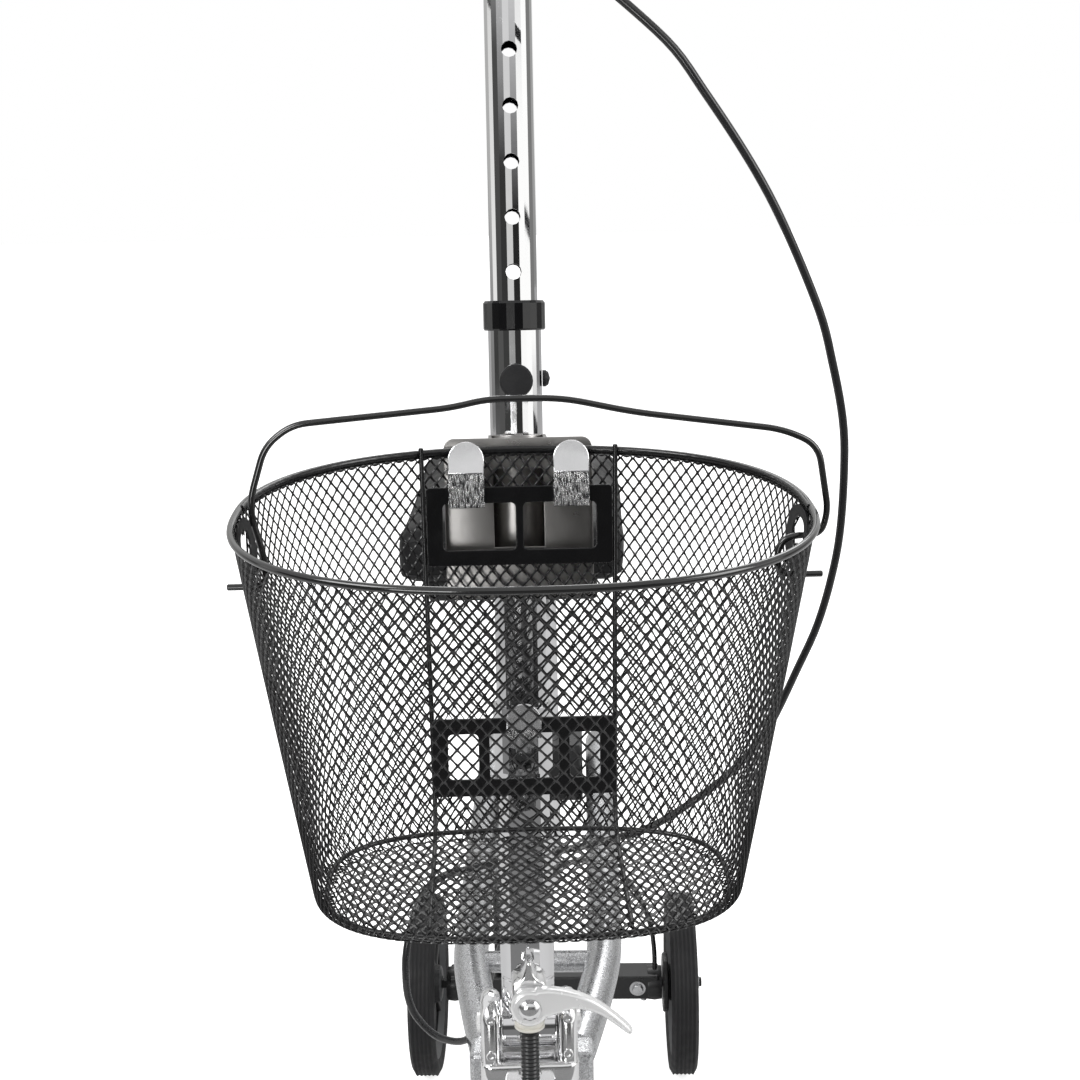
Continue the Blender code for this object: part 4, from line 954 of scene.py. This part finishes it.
def make_fold():
    """The folding joint: clevis, the column's foot, and the draw latch in front of them."""
    ear = [(-0.019, -0.034), (0.019, -0.034)]
    for step in range(13):
        turn = radians(12 + 156 * step / 12)
        ear.append((0.019 * cos(turn), -0.01 + 0.019 * sin(turn)))
    base = round_box(-0.031, -0.021, 0.031, 0.021, 0.007)
    seat = [(-0.016, -0.018), (-0.016, -0.046), (-0.0067, -0.046), (-0.0067, -0.029)]
    seat += [(0.0067, -0.029), (0.0067, -0.046), (0.016, -0.046), (0.016, -0.018)]
    parts = [prism("ear", ear, 0.0178, 0.0305, SIDEWAYS, 0.0056)]
    parts.append(prism("ear", ear, -0.0305, -0.0178, SIDEWAYS, 0.0056))
    parts.append(prism("base", base, -0.047, -0.031, column_matrix(), 0.003))
    parts.append(prism("seat", seat, -0.0468, -0.041, column_matrix(), 0.0012))
    for side in (-1, 1):
        for height, out in ((-0.003, 0.0172), (-0.026, 0.0184)):
            parts.append(screw_head(FACING @ Matrix.Translation((side * 0.0242, height, out)), 0.0032))
    add("clevis", joined("clevis", parts), POLISHED, "steerer", ["fold_clevis"])

    foot = [(0.0, -0.012), (0.014, -0.012), (0.016, -0.008), (0.0168, 0.0), (0.0168, 0.019)]
    foot += [(0.0163, 0.0196), (0.0168, 0.0202), (0.0168, 0.0217), (0.0, 0.0217)]
    across = column_matrix(0.0, 0.0, -0.012) @ Matrix.Rotation(pi / 2, 4, "Y")
    knuckle = [(0.0, -0.017), (0.0148, -0.017), (0.0155, -0.0163)]
    knuckle += [(0.0155, 0.0163), (0.0148, 0.017), (0.0, 0.017)]
    parts = [turned("foot", foot, 48, column_matrix()), turned("knuckle", knuckle, 40, across)]
    add("foot", joined("foot", parts), CHROME, "column", ["column_foot"])

    face = FACING @ Matrix.Translation((0.0, 0.018, 0.0))
    fin = [(-0.0105, -0.0115), (0.0105, -0.0115), (0.0105, 0.011)]
    fin += flat_curve([(0.009, 0.013), (0.004, 0.0165), (0.0015, 0.0262)], 8)
    fin += flat_curve([(-0.0012, 0.0265), (-0.0042, 0.0165), (-0.009, 0.013)], 8)
    fin.append((-0.0105, 0.011))
    yoke = prism("yoke", fin, 0.0178, 0.0403, face, 0.0016, [circle(0.0, 0.0, 0.0051)])
    add("yoke", yoke, POLISHED, "column", ["latch_yoke"])
    pin = [(0.0, 0.019), (0.0048, 0.019), (0.0048, 0.0498), (0.0068, 0.0498), (0.0068, 0.0506)]
    pin += [(0.0058, 0.0518), (0.0042, 0.0527), (0.0022, 0.0532), (0.0, 0.0533)]
    add("pin", turned("pin", pin, 36, face), SATIN, "column", ["cam_pin"])

    lever = []
    for step in range(26):
        turn = radians(72 + 258 * step / 25)
        lever.append((0.0114 * cos(turn), 0.0114 * sin(turn)))
    lever += flat_curve([(0.016, -0.0042), (0.028, -0.0012), (0.042, -0.005), (0.059, -0.0176)], 20)
    lever += [(0.0606, -0.0184), (0.0622, -0.0176), (0.0624, -0.016)]
    over = [(0.06, -0.0128), (0.051, -0.0045), (0.04, 0.0035), (0.028, 0.0088)]
    lever += flat_curve(over + [(0.015, 0.0118), (0.005, 0.0118)], 22)
    arm = prism("lever", lever, 0.0412, 0.0496, face, 0.002, [circle(0.0, 0.0, 0.0051)])
    add("lever", arm, CAST, "latch_lever", ["cam_lever"])

    down = column_matrix(0.0, -0.0355, 0.0)
    ring = [(0.0, 0.0003), (0.0086, 0.0003), (0.0093, 0.001), (0.0093, 0.0022), (0.0082, 0.0026)]
    ring += [(0.0082, 0.0033), (0.0093, 0.0037), (0.0093, 0.0048), (0.0086, 0.0057), (0.0, 0.0057)]
    add("ring", turned("ring", ring, 40, down), CREAM, "column", ["latch_ring"])
    rod = [(0.0, -0.05), (0.0052, -0.05)]
    for turn in range(38):
        rod.append((0.0058 if turn % 2 else 0.0051, -0.0488 + 0.00125 * turn))
    rod += [(0.0058, -0.001), (0.0, -0.0002)]
    add("rod", turned("rod", rod, 32, down), COATED, "column", ["latch_rod"], 20.0)


def make_bar_end():
    """The grips, the brake lever and the small hardware at the handlebar."""
    bar = "handlebar_assembly"
    run = Vector((0.153, 0.028, 0.004)).normalized()
    for name, node, side in (("ribbed_grip_right", "grip_right", -1), ("ribbed_grip_left", "grip_left", 1)):
        start = Vector((0.258, 0.04, BAR_HEIGHT + 0.008)) - run * 0.1075
        way = ACROSS * side * run.x + BEHIND * run.y + AXIS * run.z
        place = aimed(way, column(side * start.x, start.y, start.z))
        outline = [(0.0114, 0.0), (0.0165, 0.0), (0.0176, 0.001), (0.0176, 0.003), (0.0148, 0.0052)]
        for rib in range(26):
            height = 0.008 + 0.0034 * rib
            outline += [(0.0141, height), (0.0149, height + 0.0009), (0.0149, height + 0.0024)]
        outline += [(0.0141, 0.0975), (0.0165, 0.101), (0.0172, 0.105), (0.016, 0.108), (0.0114, 0.108)]
        add(name, turned(name, outline, 36, place), GRIP, bar, [node], 25.0)

    blade = flat_curve([(0.007, -0.006), (-0.01, -0.012), (-0.045, -0.0215), (-0.075, -0.02),
                        (-0.1, -0.015)], 20)
    blade += flat_curve([(-0.105, -0.0125), (-0.1075, -0.0095), (-0.104, -0.0065)], 6)
    blade += flat_curve([(-0.098, -0.008), (-0.07, -0.012), (-0.046, -0.013), (-0.01, -0.002),
                         (-0.004, 0.004), (0.007, 0.004)], 20)
    place = column_matrix(-0.126, -0.0316, BAR_HEIGHT)
    lever = prism("hand_lever", blade, -0.005, 0.005, place, 0.0022)
    add("hand_lever", lever, CAST, "brake_hand_lever", ["brake_lever"])
    parts = [screw_head(place @ Matrix.Translation((0.0, 0.0, 0.0155)), 0.0045)]
    for x in (-0.016, 0.016):
        for height in (-0.01, 0.011):
            front = FACING @ Matrix.Translation((x, BAR_HEIGHT + height, 0.0189))
            parts.append(screw_head(front, 0.0034))
    add("bar_screws", joined("bar_screws", parts), ZINC, bar)
    way = (Vector(CABLE[1]) - Vector(CABLE[0])).normalized()
    barrel = aimed(way, HINGE + Vector(CABLE[0]))
    outline = [(0.0, -0.004), (0.0045, -0.004), (0.0048, -0.002)]
    for ring in range(6):
        outline.append((0.005 if ring % 2 else 0.0044, 0.0016 * ring))
    outline += [(0.0046, 0.01), (0.0036, 0.012), (0.0, 0.012)]
    add("barrel", turned("barrel", outline, 24, barrel), ZINC, bar)


def make_wheels():
    """Ribbed tyres, rim bands, spokes' ribs and hub caps."""
    axle = AXIS * -((HINGE.z - WHEEL_RADIUS) / cos(RAKE))
    rear = Vector((HINGE.x, HINGE.y + 0.624, WHEEL_RADIUS))
    wheels = [("front_right", HINGE + axle, -0.125), ("front_left", HINGE + axle, 0.125)]
    wheels += [("rear_right", rear, -0.1355), ("rear_left", rear, 0.1355)]
    for name, middle, x in wheels:
        side = 1 if x > 0 else -1
        place = Matrix.Translation(middle + Vector((x, 0.0, 0.0))) @ Matrix.Rotation(side * pi / 2, 4, "Y")
        tyre = [(0.0782, -0.011), (0.086, -0.014), (0.0895, -0.0138), (0.092, -0.0122)]
        for rib in range(11):
            tyre.append((0.095 if rib % 2 == 0 else 0.0937, -0.0105 + 0.0021 * rib))
        tyre += [(0.092, 0.0122), (0.0895, 0.0138), (0.086, 0.014), (0.0782, 0.011)]
        body = f"{name}_wheel"
        mesh = turned(f"{name}_ribbed_tyre", tyre, 72, place)
        add(f"{name}_ribbed_tyre", mesh, RUBBER, body, [f"{body}_tyre"], 30.0)
        parts = []
        for face in (-1, 1):
            band = [(0.07, 0.005), (0.0772, 0.0112), (0.0779, 0.0112), (0.0779, 0.01), (0.0725, 0.005)]
            hub = [(0.0085, 0.012), (0.0185, 0.012), (0.0185, 0.0132), (0.016, 0.0142), (0.0085, 0.0142)]
            for outline in (band, hub):
                loop = [(radius, face * height) for radius, height in outline]
                parts.append(turned("band", loop[::face], 64, place))
        add(f"{name}_bands", joined(f"{name}_bands", parts), GREY_RIM, body)
        parts = []
        for spoke in range(5):
            turn = place @ Matrix.Rotation(2 * pi * spoke / 5, 4, "Z")
            arm = [(0.018, -0.0055), (0.0715, -0.0035), (0.0715, 0.0035), (0.018, 0.0055)]
            parts.append(prism("arm", arm, -0.0072, 0.0072, turn, 0.0012))
        add(f"{name}_arms", joined(f"{name}_arms", parts), MATTE, body)
        fixed = "frame" if name.startswith("rear") else "steerer"
        parts = [prism("nut", hexagon(0.0078), 0.0146, 0.0196, place, 0.0006)]
        parts.append(washer(0.0092, 0.0143, 0.0146, place, 0.0001))
        add(f"{name}_nut", joined(f"{name}_nut", parts), ZINC, fixed)


def make_frame_tubes():
    """The twin rails, the short tube between them, and the rear beam's hardware."""
    level = 0.405 - HINGE.z
    for name, node, side in (("tube_right", "rail_right", -1), ("tube_left", "rail_left", 1)):
        front = [(side * 0.029, 0.0445, level), (side * 0.04, 0.1, level)]
        front += [(side * 0.049, 0.16, level), (side * 0.051, 0.215, level)]
        line = curve_through(front, 14)
        rear = [line[-1], (side * 0.0505, 0.624, level), (side * 0.0505, 0.624, 0.1105 - HINGE.z)]
        line = line[:-1] + rounded(rear, 0.095, 10)
        route = [HINGE + Vector(p) for p in line]
        add(name, swept(name, route, 0.0131, 28), SILVER, "frame", [node])
    across = Matrix.Rotation(pi / 2, 4, "Y")
    place = Matrix.Translation(HINGE + Vector((0.0, 0.16, level))) @ across
    bridge = turned("bridge", [(0.0, -0.04), (0.008, -0.04), (0.008, 0.04), (0.0, 0.04)], 28, place)
    add("bridge", bridge, SILVER, "frame", ["cross_tube"])
    middle = Vector((HINGE.x, HINGE.y + 0.624, WHEEL_RADIUS))
    parts = []
    for side in (-1, 1):
        head = hexagon(0.0062)
        front = Matrix.Translation(middle + Vector((side * 0.089, -0.015, 0.002)))
        front = front @ Matrix.Rotation(pi / 2, 4, "X")
        parts.append(washer(0.0085, 0.0, 0.0012, front))
        parts.append(prism("head", head, 0.0012, 0.0052, front, 0.0006))
        under = Matrix.Translation(middle + Vector((side * 0.096, 0.0, -0.012)))
        under = under @ Matrix.Rotation(pi, 4, "X")
        parts.append(prism("head", head, 0.0, 0.005, under, 0.0006))
        end = [(0.0, 0.005), (0.003, 0.005), (0.003, 0.009), (0.0, 0.0095)]
        parts.append(turned("end", end, 20, under))
    add("beam_bolts", joined("beam_bolts", parts), ZINC, "frame")
    parts = []
    for side in (-1, 1):
        low, high = side * 0.1, side * 0.115
        knuckle = [(0.0, min(low, high)), (0.0175, min(low, high)), (0.0185, (low + high) / 2)]
        knuckle += [(0.0175, max(low, high)), (0.0, max(low, high))]
        parts.append(turned("knuckle", knuckle, 36, Matrix.Translation(middle) @ across))
    add("beam_knuckles", joined("beam_knuckles", parts), COATED, "frame")


def filled_pad(name, node):
    """The pad's plain block, blown up a little by cloth with its base held."""
    scene = bpy.context.scene
    source = NODES[node]
    mesh = source.data.copy()
    mesh.transform(source.matrix_world)
    mesh.materials.clear()
    pad = bpy.data.objects.new(name, mesh)
    scene.collection.objects.link(pad)

    def settled():
        graph = bpy.context.evaluated_depsgraph_get()
        return bpy.data.meshes.new_from_object(pad.evaluated_get(graph))

    grid = pad.modifiers.new("grid", "REMESH")
    grid.mode = "VOXEL"
    grid.voxel_size = 0.005
    fine = settled()
    pad.modifiers.clear()
    pad.data = fine
    base = min(v.co.z for v in fine.vertices)
    held = pad.vertex_groups.new(name="held")
    held.add([v.index for v in fine.vertices if v.co.z < base + 0.005], 1.0, "REPLACE")
    cloth = pad.modifiers.new("cloth", "CLOTH")
    cloth.settings.use_pressure = True
    cloth.settings.uniform_pressure_force = 4.0
    cloth.settings.effector_weights.gravity = 0.0
    cloth.settings.vertex_group_mass = "held"
    cloth.point_cache.frame_start, cloth.point_cache.frame_end = 1, 20
    for frame_number in range(1, 21):
        scene.frame_set(frame_number)
    filled = settled()
    for vertex, start in zip(filled.vertices, fine.vertices):
        for axis, limit in enumerate((0.0022, 0.005, 0.009)):
            moved = vertex.co[axis] - start.co[axis]
            vertex.co[axis] = start.co[axis] + max(-limit, min(limit, moved))
    pad.modifiers.clear()
    pad.data = filled
    scene.frame_set(1)
    filled.materials.clear()
    filled.materials.append(VINYL)
    filled.shade_smooth()
    smooth = pad.modifiers.new("smooth", "SUBSURF")
    smooth.levels = smooth.render_levels = 1
    return pad


def seam_route(pad, lows, highs, level):
    """A level loop on the pad's skin."""
    outline = round_box(lows.x, lows.y, highs.x, highs.y, 0.012, 8)
    route = []
    for first, second in zip(outline, outline[1:] + outline[:1]):
        first, second = Vector((*first, level)), Vector((*second, level))
        gap = max(abs(second.x - first.x), abs(second.y - first.y))
        steps = max(1, int(gap / 0.006))
        for step in range(steps):
            _, spot, normal, _ = pad.closest_point_on_mesh(first + (second - first) * (step / steps))
            route.append(spot + normal * 0.0002)
    return route


def make_cushions():
    """Two pads, each with a piped seam round its top and base."""
    for name, node in (("cushion_right", "pad_right"), ("cushion_left", "pad_left")):
        pad = filled_pad(name, node)
        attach(pad, "knee_rest")
        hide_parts(node)
        corners = [v.co for v in pad.data.vertices]
        lows = Vector([min(c[i] for c in corners) for i in range(3)])
        highs = Vector([max(c[i] for c in corners) for i in range(3)])
        for level, tag in ((highs.z - 0.017, "upper"), (lows.z + 0.006, "lower")):
            seam = swept("seam", seam_route(pad, lows, highs, level), 0.0011, 8, closed=True)
            add(f"{name}_{tag}_seam", seam, THREAD, "knee_rest")


make_hooks()
make_bracket()
make_fold()
make_bar_end()
make_wheels()
make_frame_tubes()
make_cushions()
make_wall()
make_floor_net()
make_rims()
make_ribs()
make_bail()
make_eye_plates()
make_hangers()

for nodes, material in (
    (("fold_clevis", "steerer_tube", "outer_tube", "lower_sleeve", "column_foot", "knob_boss",
      "latch_yoke", "bracket_plate", "upper_hook_right", "upper_hook_left", "lower_hook",
      "lower_clamp", "inner_tube", "pad_post"), CHROME),
    (("front_fork", "head_tube", "head_lug", "rail_right", "rail_left", "cross_tube"), SILVER),
    (("fold_pin", "cam_pin", "latch_ring", "cam_lever", "brake_lever"), CAST),
    (("latch_rod", "handlebar", "rear_beam", "post_socket", "pad_plate", "brake_drum"), COATED),
    (("collar",), GLOSS),
    (("side_screw_cap", "height_knob", "stem_clamp", "lever_perch", "post_knob",
      "front_right_wheel_core", "front_left_wheel_core", "rear_right_wheel_core",
      "rear_left_wheel_core"), MATTE),
    (("front_right_wheel_tyre", "front_left_wheel_tyre", "rear_right_wheel_tyre",
      "rear_left_wheel_tyre"), RUBBER),
    (("grip_right", "grip_left"), GRIP),
    (("pad_right", "pad_left"), VINYL),
):
    for node in nodes:
        NODES[node].data.materials.clear()
        NODES[node].data.materials.append(material)
